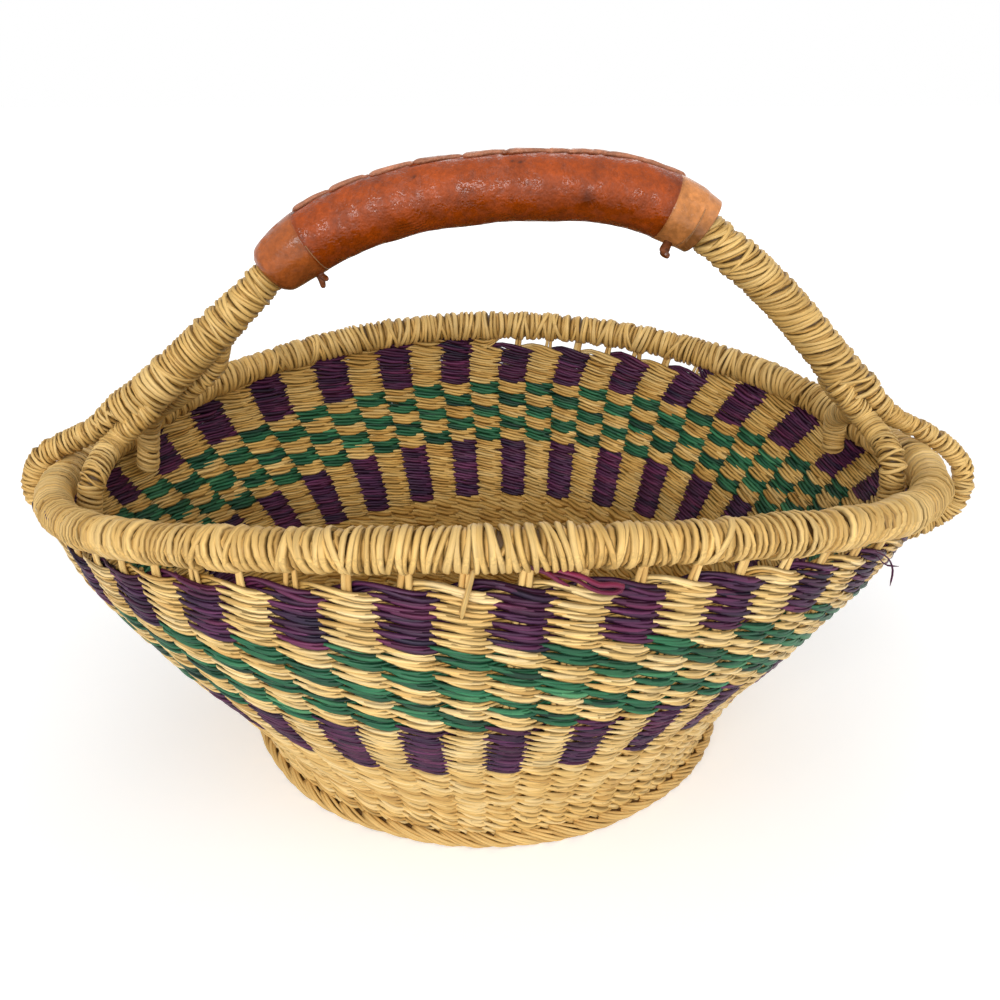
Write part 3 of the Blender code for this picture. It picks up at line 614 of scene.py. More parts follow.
def leather_material(name, relief, dull):
    """Oiled leather: mottled, finely pebbled, glossy where it is rubbed, with fine folds below."""
    material, tree, shader = new_material(name, 0.45, 0.32)
    grain = add_node(tree, "ShaderNodeGroup", node_tree=hide_group())
    brightness = map_range(tree, grain.outputs["Mottle"], 0.35, 0.65, 0.66, 1.26)
    gloss = map_range(tree, grain.outputs["Rubbed"], dull, dull + 0.12, 0.55, 0.20)
    place = object_place(tree)
    fold_centre, fold_middle = (Vector(grip_frame(*spot, GRIP_RADIUS)[0]) for spot in FOLDS)
    shift = add_node(tree, "ShaderNodeMapping", {"Vector": place, "Location": -fold_centre})
    rings = add_node(tree, "ShaderNodeTexWave",
                     {"Vector": shift.outputs[0], "Scale": 190.0, "Distortion": 4.0, "Detail": 1.0,
                      "Detail Scale": 0.6}, wave_type="RINGS", rings_direction="SPHERICAL")
    away = add_node(tree, "ShaderNodeVectorMath", {0: place, 1: fold_middle}, operation="DISTANCE")
    mask = map_range(tree, away.outputs["Value"], 3 * MM, 13 * MM, 1.0, 0.0)
    folds = weighted(tree, (calculate(tree, "MULTIPLY", rings.outputs["Fac"], mask), 0.24))
    height = calculate(tree, "ADD", grain.outputs["Height"], folds)
    dye_shader(tree, shader, brightness, gloss, height, 1.0, relief)
    return material


# How each material is made: roughness, specular level, contrast and streaks round a straw, or the
# leather's relief and the wear from which it shines
MATERIALS = {
    "Natural Straw": (straw_material, 0.55, 0.35, 0.22, 7.0),
    "Bound Straw": (straw_material, 0.50, 0.40, 0.36, 6.0),
    "Dyed Straw": (straw_material, 0.44, 0.30, 0.42, 7.0),
    "Leather": (leather_material, 0.7 * MM, 0.44),
    "Band Leather": (leather_material, 0.3 * MM, 0.34),
}


def get_material(name):
    """The basket's materials, each made when it is first asked for."""
    if name in bpy.data.materials:
        return bpy.data.materials[name]
    make, *settings = MATERIALS[name]
    return make(name, *settings)


# Bands of the weave: node, seed, rows, edges as shares of the wall's height, swing as a share of
# the relief, unevenness, lean of the dye toward red, browning all over, painted shade at a straw's
# edges, material and slot
BANDS = {
    "weave_natural": ("wall_natural", 11, 11, 0.000, 0.371, 0.80, 1.6, 0.0, 0.35, 0.40,
                      "Natural Straw", "grass"),
    "weave_lower_purple": ("band_lower_purple", 12, 10, 0.371, 0.588, 0.90, 1.0, 0.1, 0.0, 0.55,
                           "Dyed Straw", "purple_grass"),
    "weave_green": ("band_green", 13, 10, 0.588, 0.845, 1.00, 1.0, 0.0, 0.0, 0.55,
                    "Dyed Straw", "green_grass"),
    "weave_upper_purple": ("band_upper_purple", 14, 7, 0.845, 1.000, 1.05, 1.2, 0.3, 0.0, 0.55,
                           "Dyed Straw", "purple_grass"),
}
# Rows over the last one of the wall, which fill the space up to the rim where the weave reaches it
HEAD_ROWS = 2
RINGS_PER_STAKE = 6
# Where the last rows stop short of the rim and leave the stakes bare: middle and half of each
# stretch and the way from closed to bare, in degrees
OPEN_STRETCHES = ((-88.5, 76.0), (70.0, 18.0))
OPEN_EASE = 6.0
# A strand comes out higher than it goes in by twice its tilt, and sinks in the middle of a stitch,
# both as shares of the row. Its straws follow one another by their lag, in stakes, and draw
# together where it crosses the other strand
STRAND_TILT, LAST_TILT, STRAND_SAG = 0.36, 0.50, 0.12
STRAND_LAG, STRAND_BUNCH = 0.26, 0.68
# The last rows are looser: taller, rougher and shifted along the wall
LAST_PITCH, LAST_ROUGH, LAST_DRIFT, ROW_DRIFT = 1.18, 1.7, 0.22, 0.13


def row_dyes(band, row):
    """Dye of the strand that shows over the even stakes, and of the one over the odd stakes."""
    if band == "weave_natural":
        return "straw", "straw"
    if band == "weave_green":
        return ("green", "straw") if row // 2 % 2 else ("straw", "green")
    return "purple", "straw"


def twine_row(sheaf, wobble, place, wall, pitch, swing, dyes, straws, rough=1.0, reddish=0.0,
              shade_and_browning=0.0, tilt=STRAND_TILT):
    """One twined row: two strands, one outside a stake where the other is inside, that cross
    between the stakes. A strand is widest over a stake, comes out high on the left and goes in low
    on the right, one straw after another. Natural straw is painted darker and browner, as shade,
    where it goes in between the stakes and lies on the wall's inside, and all over by a given share:
    painted shade on the basket's floor, a browner tone on the wall and the foot. Wall is the row's
    middle line with its directions outward and upward. The straws are added to the sheaf."""
    centre, outward, upward = wall

    def wander(spacing):
        return wobble.along(1, place, spacing, True)[0]

    for strand, dye in enumerate(dyes):
        shades, middle = palette(dye)
        plain = dye == "straw"
        uneven = wander(0.8)
        reach = swing * (1 + 0.14 * rough * wander(1.0))
        tone = wander(1.4)
        hue = reddish + wander(2.2)
        warm = np.stack([1 + 0.11 * hue, 1 - 0.04 * hue, 1 - 0.07 * hue], axis=-1)
        for straw in range(straws):
            spot = straw - (straws - 1) / 2
            lag = STRAND_LAG * spot / max(1, straws - 1)
            phase = math.pi * (place + strand + lag + 0.03 * uneven)
            out = np.cos(phase)
            over = np.abs(out)
            depth = np.tanh(1.7 * out) / math.tanh(1.7)
            rise = -tilt * np.sin(phase) - STRAND_SAG * over ** 2 + 0.05 + 0.06 * rough * uneven
            bunch = STRAND_BUNCH + (1 - STRAND_BUNCH) * over ** 0.8
            sway, lift, own, thick = (wander(spacing) for spacing in (0.9, 0.7, 1.1, 0.8))
            shift = rise * pitch + pitch * (1.06 / straws * spot * bunch + 0.05 * rough * sway)
            stack = depth * reach + depth * (0.18 * rough * lift - 0.22 * spot) * MM
            mix = middle + (0.24 if plain else 0.28) * tone + (0.52 if plain else 0.60) * own
            # Painted shade: natural straw darker and browner where it goes in between the stakes and
            # on the wall's inside, plus the share given for all of the row
            hidden = np.clip(np.clip(0.5 - depth, 0, 1) + shade_and_browning, 0, 1.2)[:, None]
            shading_and_browning = 1 - hidden * (1 - np.array(SHADE_AND_BROWNING))
            lay(sheaf, centre + outward * stack[:, None] + upward * shift[:, None], upward, outward,
                pitch / straws * (1.02 + 0.14 * thick) * (0.72 + 0.28 * over),
                pitch / straws * (0.44 + 0.06 * own),
                blend_colours(shades, mix) * (shading_and_browning if plain else warm))


def closed_top(angle):
    """1 where the weave reaches the rim, 0 where bare stakes show below it."""
    share = 1.0
    for middle, half in OPEN_STRETCHES:
        away = np.abs((np.degrees(angle) - middle + 180.0) % 360.0 - 180.0)
        share = share * np.clip((away - half) / OPEN_EASE + 0.5, 0.0, 1.0)
    return share * share * (3 - 2 * share)


def weave_band(band):
    """One band of the wall, row by row from its lower edge."""
    node, seed, rows, bottom, top, swing, rough, reddish, shade_and_browning, edge, material, slot = BANDS[band]
    wobble = Wobble(seed)
    place = np.arange(STAKES * RINGS_PER_STAKE) / RINGS_PER_STAKE
    sheaf = new_sheaf()
    height = (top - bottom) / rows
    hidden = (RIM_HEIGHT - FOOT_HEIGHT) / (WEAVE_HEIGHT - FOOT_HEIGHT)
    for row in range(rows + (HEAD_ROWS if top == 1.0 else 0)):
        drift = wobble.along(1, place, 3.0, True)[0]
        middle = bottom + (row + 0.5) * height
        angle = stake_turn(place, min(middle, 1.0))
        share = middle + ROW_DRIFT * drift * height
        last = top == 1.0 and row >= rows - 1
        if last:
            share = share + LAST_DRIFT * height * wobble.along(1, place, 1.6, True)[0]
        if row >= rows:
            share = hidden + (share - hidden) * closed_top(angle)
        *wall, reach = wall_frame(share, angle)
        pitch = reach * height * (LAST_PITCH if last else 1.0)
        twine_row(sheaf, wobble, place, wall, pitch, swing * sizes().weave_relief,
                  row_dyes(band, row), sizes().straws, rough * (LAST_ROUGH if last else 1.0),
                  reddish, shade_and_browning, LAST_TILT if last else STRAND_TILT)
    add_straws(band, [bundle(**sheaf, sides=4, closed=True, edge=edge)], material, slot, node)


def build_stakes():
    """Stakes inside the wall: two flat straws side by side, bare under the rim."""
    wobble = Wobble(SEEDS["stakes"])
    shades, middle = palette("straw")
    steps = np.linspace(0, 1, 22)
    sheaf = new_sheaf()
    for stake in range(STAKES):
        broad = 1.15 + 0.30 * wobble.each(1)[0]
        tilt = wobble.each(1)[0]
        angle = stake_turn(stake + 0 * steps, steps)
        centre, outward, upward, reach = wall_frame(steps, angle)
        along = unit(np.cross(upward, outward))
        for side in (-1, 1):
            lean = 0.6 * MM * wobble.along(1, steps, 0.25)[0]
            path = centre + along * (side * broad * MM + lean)[:, None]
            aside = (side * 0.7 + tilt + 0.8 * wobble.each(1)[0]) * MM
            rim = rim_centre(angle[-1]) + along[-1] * aside
            bend = path[-1] * 0.5 + rim * 0.5 + outward[-1] * 0.9 * MM
            tone = wobble.each(1)[0]
            path = np.vstack([path, bend, rim])
            lay(sheaf, path, np.vstack([along, along[-1:], along[-1:]]),
                np.vstack([outward, outward[-1:], outward[-1:]]), np.full(len(path), broad * MM),
                np.full(len(path), STAKE_HALF_DEPTH),
                blend_colours(shades, np.full(len(path), 0.5 * tone)))
    add_straws("stakes", [bundle(**sheaf, sides=6, closed=False)], "Natural Straw", "grass")


# Loose ends on the wall: colour, half width, and points as places in stakes, shares of the wall's
# height and millimetres off the wall
LOOSE_STRAWS = (
    ("magenta", 1.60, ((0.02, 1.085, 1.0), (0.12, 1.064, 2.5), (0.37, 1.038, 3.0),
                       (0.56, 1.032, 3.2), (0.81, 1.022, 3.6), (1.10, 0.999, 4.0),
                       (1.35, 0.989, 4.5), (1.56, 0.992, 5.0), (1.62, 1.003, 5.5),
                       (1.49, 1.010, 5.4), (1.20, 1.011, 5.0), (0.91, 1.030, 4.5),
                       (0.65, 1.042, 4.0), (0.40, 1.050, 3.4))),
    ("magenta", 1.70, ((-0.05, 1.075, 1.5), (0.10, 1.052, 2.8), (0.30, 1.043, 3.4),
                       (0.55, 1.020, 4.0), (0.72, 1.008, 4.2))),
    ("purple", 0.70, ((7.70, 1.000, 1.0), (8.05, 0.985, 4.0), (8.35, 0.950, 7.0),
                      (8.50, 0.900, 9.5))),
    ("purple", 0.65, ((7.85, 0.985, 1.0), (8.15, 0.960, 4.5), (8.40, 0.965, 8.0))),
    ("straw", 2.10, ((-0.80, 1.090, 0.2), (-0.84, 1.050, 1.4), (-0.91, 1.000, 2.2),
                     (-0.98, 0.955, 2.4), (-1.01, 0.925, 0.6))),
)


def build_loose():
    """Loose ends of straw that stand off the wall."""
    bundles = []
    for dye, half, spots in LOOSE_STRAWS:
        places, shares, off = np.array(spots).T
        centre, outward, upward, reach = wall_frame(shares, stake_turn(places, shares))
        route = Route(centre + outward * (WALL_THICKNESS / 2 + (off - 2.0) * MM)[:, None], 6)
        marks = np.linspace(0, route.length, max(6, int(route.length / (2 * MM))))
        point, along, side, out = route.frame(marks)
        ends = np.minimum(1.0, np.minimum(marks + 2 * MM, route.length - marks + 1 * MM) / (4 * MM))
        if dye == "magenta":
            bright = 0.30 + 0.7 * np.clip(marks / route.length * 2, 0, 1)
            shade = np.array(LOOSE_SHADE) * bright[:, None]
        else:
            shade = blend_colours(palette(dye)[0], 0.2 + 0 * marks)
        bundles.append(one_straw(point, side, out, half * MM * ends, 0.45 * half * MM * ends,
                                 shade, 6))
    add_straws("loose_straws", bundles, "Dyed Straw", "purple_grass")


def wound_layer(route, start, end, reach, width, slant, wobble, layer, points, sides, turned,
                bumps=1.0):
    """One layer of flat straws wound on a route: one loop after another, each leaning its own way
    and twisted thin at some place. Turned is the angle round the route where slant leans most."""
    pitch, broad, sink, tone, rough = layer
    pitch, width, sink = pitch * width, broad * width, sink * width
    shades, middle = palette("binding")
    straws = max(3, int(round((end - start) / pitch)))
    step = (end - start) / straws
    first = (start + (np.arange(straws) + 0.5) * step)[:, None]
    turns = (2 * math.pi * np.arange(points) / points)[None, :]
    jitter, swing, spin, own = (wobble.each(straws, 1) for _ in range(4))
    group = wobble.along(1, first[:, 0], 4.5 * step)[0][:, None]
    crossing = np.where(wobble.each(straws, 1) > 1 - 0.22 * rough, 1.0, 0.0)
    lean = slant + rough * step * (0.75 * group + 0.45 * swing)
    lean = lean - crossing * np.sign(group + 0.01) * 1.5 * step
    ahead = lean * np.cos(turns - turned + 0.4 * spin) + step * 0.30 * rough * jitter
    ahead = ahead + step * 0.22 * rough * wobble.each(straws, 1) * np.cos(2 * turns + 3 * spin)
    mark = np.clip(first + ahead, start - step, end + step)
    centre, along, side, out = route.frame(mark)
    lump = wobble.along(1, first[:, 0], 3.0 * step)[0][:, None]
    thin = (0.5 + 0.5 * np.cos(turns + math.pi * spin * 3)) ** 5
    half = 0.5 * width * (1.0 - 0.32 * rough * thin) * (1.0 + 0.14 * rough * own)
    deep = 0.5 * width * (0.58 + 0.14 * thin)
    uneven = bumps * (0.16 * jitter + 0.20 * lump) + 0.38 * crossing
    radius = reach(mark) - deep - sink + uneven * rough * MM
    radius = radius + 0.07 * rough * MM * wobble.each(straws, points)
    direction = np.cos(turns)[..., None] * out + np.sin(turns)[..., None] * side
    tilt = 0.28 * rough * np.sign(group) + 0.15 * swing
    # Painted shade: the under layer darker by its tone, loops lighter where a lump lifts them and
    # darker where it sinks them, and each straw darker toward its edges
    mix = middle + tone + 0.42 * np.repeat(own, points, axis=1) + 0.18 * lump
    return bundle(centre + radius[..., None] * direction, unit(along + tilt[..., None] * direction),
                  unit(direction), half, deep, blend_colours(shades, mix), sides, True, 0.58)


# Two layers of a winding: pitch, width and depth below the outside, as shares of the straw's width,
# how much darker it is painted, as shade under the outer layer, and unevenness
UNDER_LAYER = (0.86, 1.05, 0.26, -0.90, 0.4)
OVER_LAYER = (0.93, 1.00, 0.0, 0.0, 1.0)
CORE_DEPTH_SHARE = 0.72


def winding(route, start, end, reach, width, slant, seed, points=14, turned=0.0, bumps=1.0):
    """Straws wound on a route in two layers over a core painted dark as shade, which shows in the
    gaps between them. Reach is the distance from the route to the outside, read at any distance
    along it."""
    wobble = Wobble(seed)
    shared = (route, start, end, reach, width, slant, wobble)
    under = wound_layer(*shared, UNDER_LAYER, 10, 4, turned)
    over = wound_layer(*shared, OVER_LAYER, points, 6, turned, bumps)
    marks = np.linspace(start, end, max(4, int((end - start) / (4 * MM))))
    centre, along, side, out = route.frame(marks)
    inner = reach(marks) - CORE_DEPTH_SHARE * width
    return [under, over, one_straw(centre, side, out, inner, inner, CORE_PAINTED_SHADE, 12)]


def build_rim():
    """Winding of the rim, along its centre line from the right-hand end."""
    route = Route(rim_centre(np.linspace(0, 2 * math.pi, 121)), 8, (0.0, 0.0, 1.0))
    bundles = winding(route, 0.0, route.length, lambda mark: RIM_TUBE + 0 * mark,
                      sizes().rim_straw, 0.0, SEEDS["rim"], turned=math.pi / 2, bumps=2.0)
    add_straws("rim_winding", bundles, "Bound Straw", "grass_pale", "rim_binding")


def bound_reach(mark):
    """Outside of the bound handle: thinner at the leather, swollen where it parts into legs."""
    left = smooth((0, 1 / 3, 2 / 3, 1, 1.2), (1.00, 1.00, 0.95, 0.80, 0.80), mark / GRIP_START)
    right = smooth((0, 1 / 3, 2 / 3, 1, 1.2), (1.00, 1.00, 1.00, 0.93, 0.93),
                   (ARCH.length - mark) / (ARCH.length - GRIP_END))
    near = np.minimum(mark, ARCH.length - mark)
    swell = 1.6 * MM * np.exp(-(near / (9 * MM)) ** 2)
    return BINDING_RADIUS * np.where(mark < ARCH.length / 2, left, right) + swell


# How far the handle's windings run on under the leather's end bands, and how much they lean
LEFT_UNDER, RIGHT_UNDER = 8 * MM, 12 * MM
LEFT_SLANT, RIGHT_SLANT = 0.2 * MM, 3.6 * MM


def build_handle():
    """Windings of the handle, one on each side of the grip."""
    width = sizes().handle_straw
    left = winding(ARCH, 0.0, GRIP_START + LEFT_UNDER, bound_reach, width, LEFT_SLANT,
                   SEEDS["handle_left"])
    add_straws("handle_winding_left", left, "Bound Straw", "grass_pale", "handle_binding_left")
    right = winding(ARCH, GRIP_END - RIGHT_UNDER, ARCH.length, bound_reach, width, RIGHT_SLANT,
                    SEEDS["handle_right"])
    add_straws("handle_winding_right", right, "Bound Straw", "grass_pale", "handle_binding_right",
               "handle_bundle")


def wall_outward(share, angle):
    return wall_frame(np.array([share]), np.array([angle]))[1][0]


def parting(end):
    """Where the handle parts into legs: place, direction down the handle, side and outward."""
    centre, along, side, out = ARCH.frame(0.0 if end < 0 else ARCH.length)
    return centre, end * along, side, out


def outer_leg_points(end, slack, seat_share, seat_reaches):
    """Leg that rides over the end of the rim and curls in under it to the wall's outside."""
    centre, down, side, out = parting(end)
    start = centre + out * OUTER_LEG_SHARE * LEG_SPREAD
    tip_angle = 0.0 if end > 0 else math.pi
    tip = rim_centre(tip_angle)
    touch = RIM_TUBE + LEG_RADIUS - 0.3 * MM
    points = [start - down * LEG_OVERLAP - out * 2 * MM, start, start + down * OUTER_LEG_RUN]
    for turn_share, slack_share in LOOP_TURN_SHARES:
        turn = turn_share * math.pi / 2
        reach = touch + slack * slack_share
        points.append(tip + reach * np.array([end * math.cos(turn), 0, math.sin(turn)]))
    outward = wall_outward(seat_share, tip_angle)
    seat = wall_place(seat_share, tip_angle, 0.0)
    return points + [seat + outward * reach for reach in seat_reaches]


def leg_foot_points(angle, gap=3.0 * MM):
    """Last points of an inner leg: down past the rim, and down the wall's inside."""
    rim = rim_centre(angle)
    inward = unit(np.array([-rim[0] + RIM_MIDDLE_X, -rim[1], 0.0]))
    beside = rim + inward * (RIM_TUBE + LEG_RADIUS + gap)
    foot = wall_place(LEG_SEAT_SHARE, angle, 0.0) - wall_outward(LEG_SEAT_SHARE, angle) * (
        WALL_THICKNESS + LEG_RADIUS)
    return [beside + np.array([0, 0, LEG_RADIUS]), foot, foot + (foot - beside) * 0.25]


def inner_leg_points(end, toward, angle):
    """Leg from the parting down inside the rim, in front (-1) or behind (+1)."""
    centre, down, side, out = parting(end)
    across, outward = INNER_LEG_SHARES
    start = centre + (side * toward * across + out * outward) * LEG_SPREAD
    above = start - down * LEG_OVERLAP - side * toward * 3 * MM
    return [above, start, start + down * LEG_RADIUS] + leg_foot_points(angle)


def early_leg_points(angle):
    """Rear left leg: it leaves the bound handle from below, above the parting."""
    points = []
    for distance, share in ((EARLY_LEAVE + LEG_OVERLAP, 0.45), (EARLY_LEAVE, 1.0),
                            (EARLY_LEAVE - 12 * MM, 1.0)):
        centre, along, side, out = ARCH.frame(distance)
        points.append(centre + share * unit(side - out) * (BINDING_RADIUS + LEG_RADIUS))
    return points + leg_foot_points(angle, 0.6 * MM)


def leg_routes():
    left, right = math.pi, 0.0
    return {
        "leg_outer_left": outer_leg_points(-1, 8.0 * MM, 0.88, (6.4 * MM,)),
        "leg_outer_right": outer_leg_points(1, 24.5 * MM, 0.80, (15 * MM, 0.9 * MM)),
        "leg_front_left": inner_leg_points(-1, -1, left + math.radians(13)),
        "leg_front_right": inner_leg_points(1, -1, right - math.radians(13)),
        "leg_rear_left": early_leg_points(left - math.radians(19)),
        "leg_rear_right": inner_leg_points(1, 1, right + math.radians(16)),
    }


# Where the right outer leg gets thinner, along it
LEG_THIN_FROM = 30 * MM


def leg_reach(thin_from, mark):
    """Outside of a bound leg, a little thinner past a mark."""
    return LEG_RADIUS * (1 - 0.14 * np.clip((mark - thin_from) / (10 * MM), 0, 1))


def build_legs():
    for number, (name, points) in enumerate(leg_routes().items()):
        route = Route(points)
        thin_from = LEG_THIN_FROM if name == "leg_outer_right" else math.inf
        wound = winding(route, 0.0, route.length, lambda mark: leg_reach(thin_from, mark),
                        sizes().leg_straw, 0.5 * MM, SEEDS["legs"] + number, points=12)
        add_straws(name + "_winding", wound, "Bound Straw", "grass_pale", name)


# The foot's plait: straws for each stake, how many stakes one runs past, and its roll round the
# ring's middle line from its start, in degrees
PLAIT_STRAWS, PLAIT_RUN, PLAIT_ROLL = 4, 3.1, (66, 216)
# Twined rows of the base: swing, and rings of a straw for each stake
BASE_SWING = 1.2 * MM
FOOT_RINGS, FLOOR_RINGS = 5, 4
# Floor: width of a row, height of its edge, how much higher its middle is, and how far it lies over
# the plait
FLOOR_PITCH = 3.3 * MM
FLOOR_LIFT, FLOOR_CROWN, FLOOR_OVERLAP = 5.2 * MM, 3.0 * MM, 1.4 * MM
# Stakes that a row of the floor goes round, up to each radius
FLOOR_STAKES = ((9 * MM, 8), (26 * MM, 16), (60 * MM, 30))


def circle(angle):
    """Directions away from the basket's middle."""
    return np.stack([np.cos(angle), np.sin(angle), 0 * angle], axis=-1)


def build_foot():
    """Plaited border: each stake's straws bend over, run down round the ring and tuck in under the
    ones that follow. One more woven row lies over their beginnings."""
    wobble = Wobble(SEEDS["foot"])
    shades, middle = palette("straw")
    sheaf = new_sheaf()
    u = np.linspace(0, 1, 15)
    ring = FOOT_RADIUS - PLAIT_WIDTH / 2
    across, tall = PLAIT_WIDTH / 2 - 0.9 * MM, FOOT_HEIGHT / 2 - 0.7 * MM
    for stake in range(STAKES):
        drop = 0.07 * wobble.each(1)[0]
        fat = 1.0 + 0.12 * wobble.each(1)[0]
        for straw in range(PLAIT_STRAWS):
            spot = straw - (PLAIT_STRAWS - 1) / 2
            turn = stake - 0.12 + PLAIT_RUN * u ** 1.05 + 0.03 * wobble.each(1)[0]
            angle = stake_turn(turn, 0.0)
            roll = np.radians(PLAIT_ROLL[0] - PLAIT_ROLL[1] * u ** 1.1) + drop
            layer = 1.3 * MM * (0.45 - u) + 0.44 * MM * (1.1 - spot * spot)
            level = FOOT_HEIGHT / 2 + (tall + layer) * np.sin(roll)
            away = ring + (across + layer) * np.cos(roll)
            path = np.stack([FOOT_MIDDLE_X + away * np.cos(angle), away * np.sin(angle), level],
                            axis=-1)
            outward = np.stack([np.cos(roll) * np.cos(angle), np.cos(roll) * np.sin(angle),
                                np.sin(roll)], axis=-1)
            sideways = unit(np.cross(unit(np.gradient(path, axis=0)), outward))
            twist = np.cos(2.2 * u * math.pi + 0.9 * straw + stake)
            spread = 0.62 + 0.38 * np.sin(math.pi * np.clip(u * 1.2, 0, 1)) ** 0.5
            aside = spot * 1.15 * MM * fat * spread + 0.25 * MM * twist
            path = path + sideways * aside[:, None] + outward * (0.22 * MM * twist)[:, None]
            path[:, 2] = np.maximum(path[:, 2], 0.55 * MM)
            # Painted shade: the outer straws of each stake's group darker, and each straw darker at
            # its beginning, under the woven row
            tone = middle - 0.08 - 0.16 * abs(spot) + 0.22 * wobble.each(1)[0]
            lay(sheaf, path, sideways, outward, np.full(len(u), 0.85 * MM),
                np.full(len(u), 0.66 * MM), blend_colours(shades, tone - 0.5 * (1 - u) ** 4))
    turns = np.linspace(0, 2 * math.pi, 120, endpoint=False)
    path = ring * circle(turns) + np.array([FOOT_MIDDLE_X, 0.0, FOOT_HEIGHT / 2])
    core = one_straw(path, circle(turns), np.broadcast_to([0.0, 0.0, 1.0], path.shape),
                     PLAIT_WIDTH / 2 - 1.5 * MM, FOOT_HEIGHT / 2 - 1.2 * MM, CORE_PAINTED_SHADE, 8, True)
    place = np.arange(STAKES * FOOT_RINGS) / FOOT_RINGS
    rows, bottom, top = BANDS["weave_natural"][2:5]
    height = (top - bottom) / rows
    share = height * (-0.34 + 0.10 * wobble.along(1, place, 2.0, True)[0])
    *wall, reach = wall_frame(share, stake_turn(place, 0.0))
    row = new_sheaf()
    twine_row(row, wobble, place, wall, reach * height, BASE_SWING, ("straw", "straw"), 3, 1.3,
              shade_and_browning=0.3)
    bundles = [bundle(**sheaf, sides=5, closed=False), core, bundle(**row, sides=4, closed=True)]
    add_straws("foot_plait", bundles, "Natural Straw", "grass", "foot_braid")


def build_floor():
    """Woven floor: twined rows from the middle out, with more stakes where the circle is wider. It
    is a little crowned, and its last row lies on the plait's inner edge."""
    wobble = Wobble(SEEDS["floor"])
    sheaves = []
    outer = FOOT_RADIUS - PLAIT_WIDTH + FLOOR_OVERLAP
    rows = int(outer / FLOOR_PITCH)
    for row in range(1, rows + 1):
        radius = row * outer / rows - FLOOR_PITCH / 2
        stakes = next((count for limit, count in FLOOR_STAKES if radius < limit), STAKES)
        place = np.arange(stakes * FLOOR_RINGS) / FLOOR_RINGS
        away = circle(2 * math.pi * place / stakes)
        lift = FLOOR_LIFT + FLOOR_CROWN * (1 - (radius / outer) ** 2)
        ring = radius + 0.15 * FLOOR_PITCH * wobble.along(1, place, 3.0, True)[0]
        centre = away * ring[:, None] + np.array([FOOT_MIDDLE_X, 0.0, lift])
        upward = np.broadcast_to([0.0, 0.0, 1.0], away.shape)
        sheaf = new_sheaf()
        # Painted shade: the floor inside the basket darker and browner all over
        twine_row(sheaf, wobble, place, (centre, upward, away), FLOOR_PITCH + 0 * place, BASE_SWING,
                  ("straw", "straw"), 2, shade_and_browning=0.8)
        sheaves.append(bundle(**sheaf, sides=4, closed=True))
    add_straws("floor_weave", sheaves, "Natural Straw", "grass", "base_floor")


# The leather grip: distances along it are from its left end, angles round it from its top toward
# the back, so the front is below zero
GRIP_LENGTH = GRIP_END - GRIP_START
LEFT_SEAM = 22.8 * MM
RIGHT_SEAM = GRIP_LENGTH - 18.3 * MM
STRIP_SEAM = GRIP_LENGTH - 6.0 * MM
# Where each scallop of the lip starts and ends along the grip, in millimetres
LIP_SCALLOPS = ((23.0, 37.0), (39.0, 53.5), (55.7, 72.0), (73.4, 92.0), (93.7, 110.0),
                (111.0, 128.0), (128.5, 136.5), (137.4, 146.0), (146.0, 152.0), (151.2, 167.0),
                (166.0, 181.0))
LIP_BACK_ANGLE = math.radians(21)
# Spots of the leather: a stain, the middle of the folds' rings and of their patch, and dark dots
STAIN = (144.8 * MM, math.radians(-101))
FOLDS = ((66.0 * MM, math.radians(-70)), (70.0 * MM, math.radians(-142)))
DOTS = ((114.1 * MM, math.radians(-37)), (117.3 * MM, math.radians(-40)),
        (74.1 * MM, math.radians(-46)))


def lip_width(distance):
    """How far the lip's scalloped edge reaches from its back edge toward the front."""
    width = np.full(np.shape(distance), 3.4)
    for start, end in LIP_SCALLOPS:
        u = np.clip((distance / MM - start) / (end - start), 0, 1)
        inside = (distance / MM > start - 0.6) & (distance / MM < end + 1.0)
        full = 8.4 - 1.2 * np.clip((start - 100) / 80, 0, 1)
        shape = full - 2.9 * u ** 1.3
        width = np.where(inside, np.maximum(width, shape), width)
    return width * MM


def leather_noise(distance, angle):
    """Low, smooth unevenness of the leather, about -1 to 1."""
    random = np.random.default_rng(SEEDS["leather"])
    total = 0.0
    for _ in range(14):
        wave, times = random.uniform(9, 42) * MM, random.integers(1, 4)
        start = random.uniform(0, 6.28)
        total = total + np.sin(2 * math.pi * distance / wave + times * angle + start)
    return total / 5.0


def near(distance, angle, spot, reach, spread):
    """1 at a spot of the grip, falling to 0 round it."""
    along = (distance - spot[0]) / reach
    around = (angle - spot[1]) / spread
    return np.exp(-along ** 2 - around ** 2)


def lip_edge(distance):
    """Angle at which the front edge of the lip lies."""
    return LIP_BACK_ANGLE - lip_width(distance) / GRIP_RADIUS


def leather_radius(distance, angle):
    """Outside of the grip's leather, as a share of the grip's radius: rounded at its left end, over
    a strip's seam at its right end, flat under the lip and grooved along its edge."""
    places = (0, 2.5 * MM, 5 * MM, 12 * MM, 22 * MM, 40 * MM, GRIP_LENGTH - 30 * MM,
              STRIP_SEAM - 1 * MM, STRIP_SEAM + 0.6 * MM, GRIP_LENGTH)
    shares = (0.66, 0.81, 0.86, 0.93, 0.985, 1.0, 1.0, 1.0, 0.975, 0.96)
    share = smooth(places, shares, distance)
    ending = np.clip((distance - RIGHT_SEAM) / (GRIP_LENGTH - RIGHT_SEAM), 0, 1)
    below = np.clip(-np.cos(angle + 0.4), 0, 1) * ending
    share = share - 0.13 * below ** 1.5
    over_cover = (distance < LEFT_SEAM) | (distance > RIGHT_SEAM)
    middle = np.clip(np.minimum(distance - LEFT_SEAM, RIGHT_SEAM - distance) / (6 * MM), 0, 1)
    share = share + np.where(over_cover, 0.008, 0.0)
    share = share + 0.015 * leather_noise(distance, angle) * (0.3 + 0.7 * middle)
    under = np.exp(-((angle - lip_edge(distance)) / 0.11) ** 2) * middle
    flat = np.exp(-((angle - 0.15) / 0.30) ** 2) * middle
    return share - 0.040 * under - 0.030 * flat


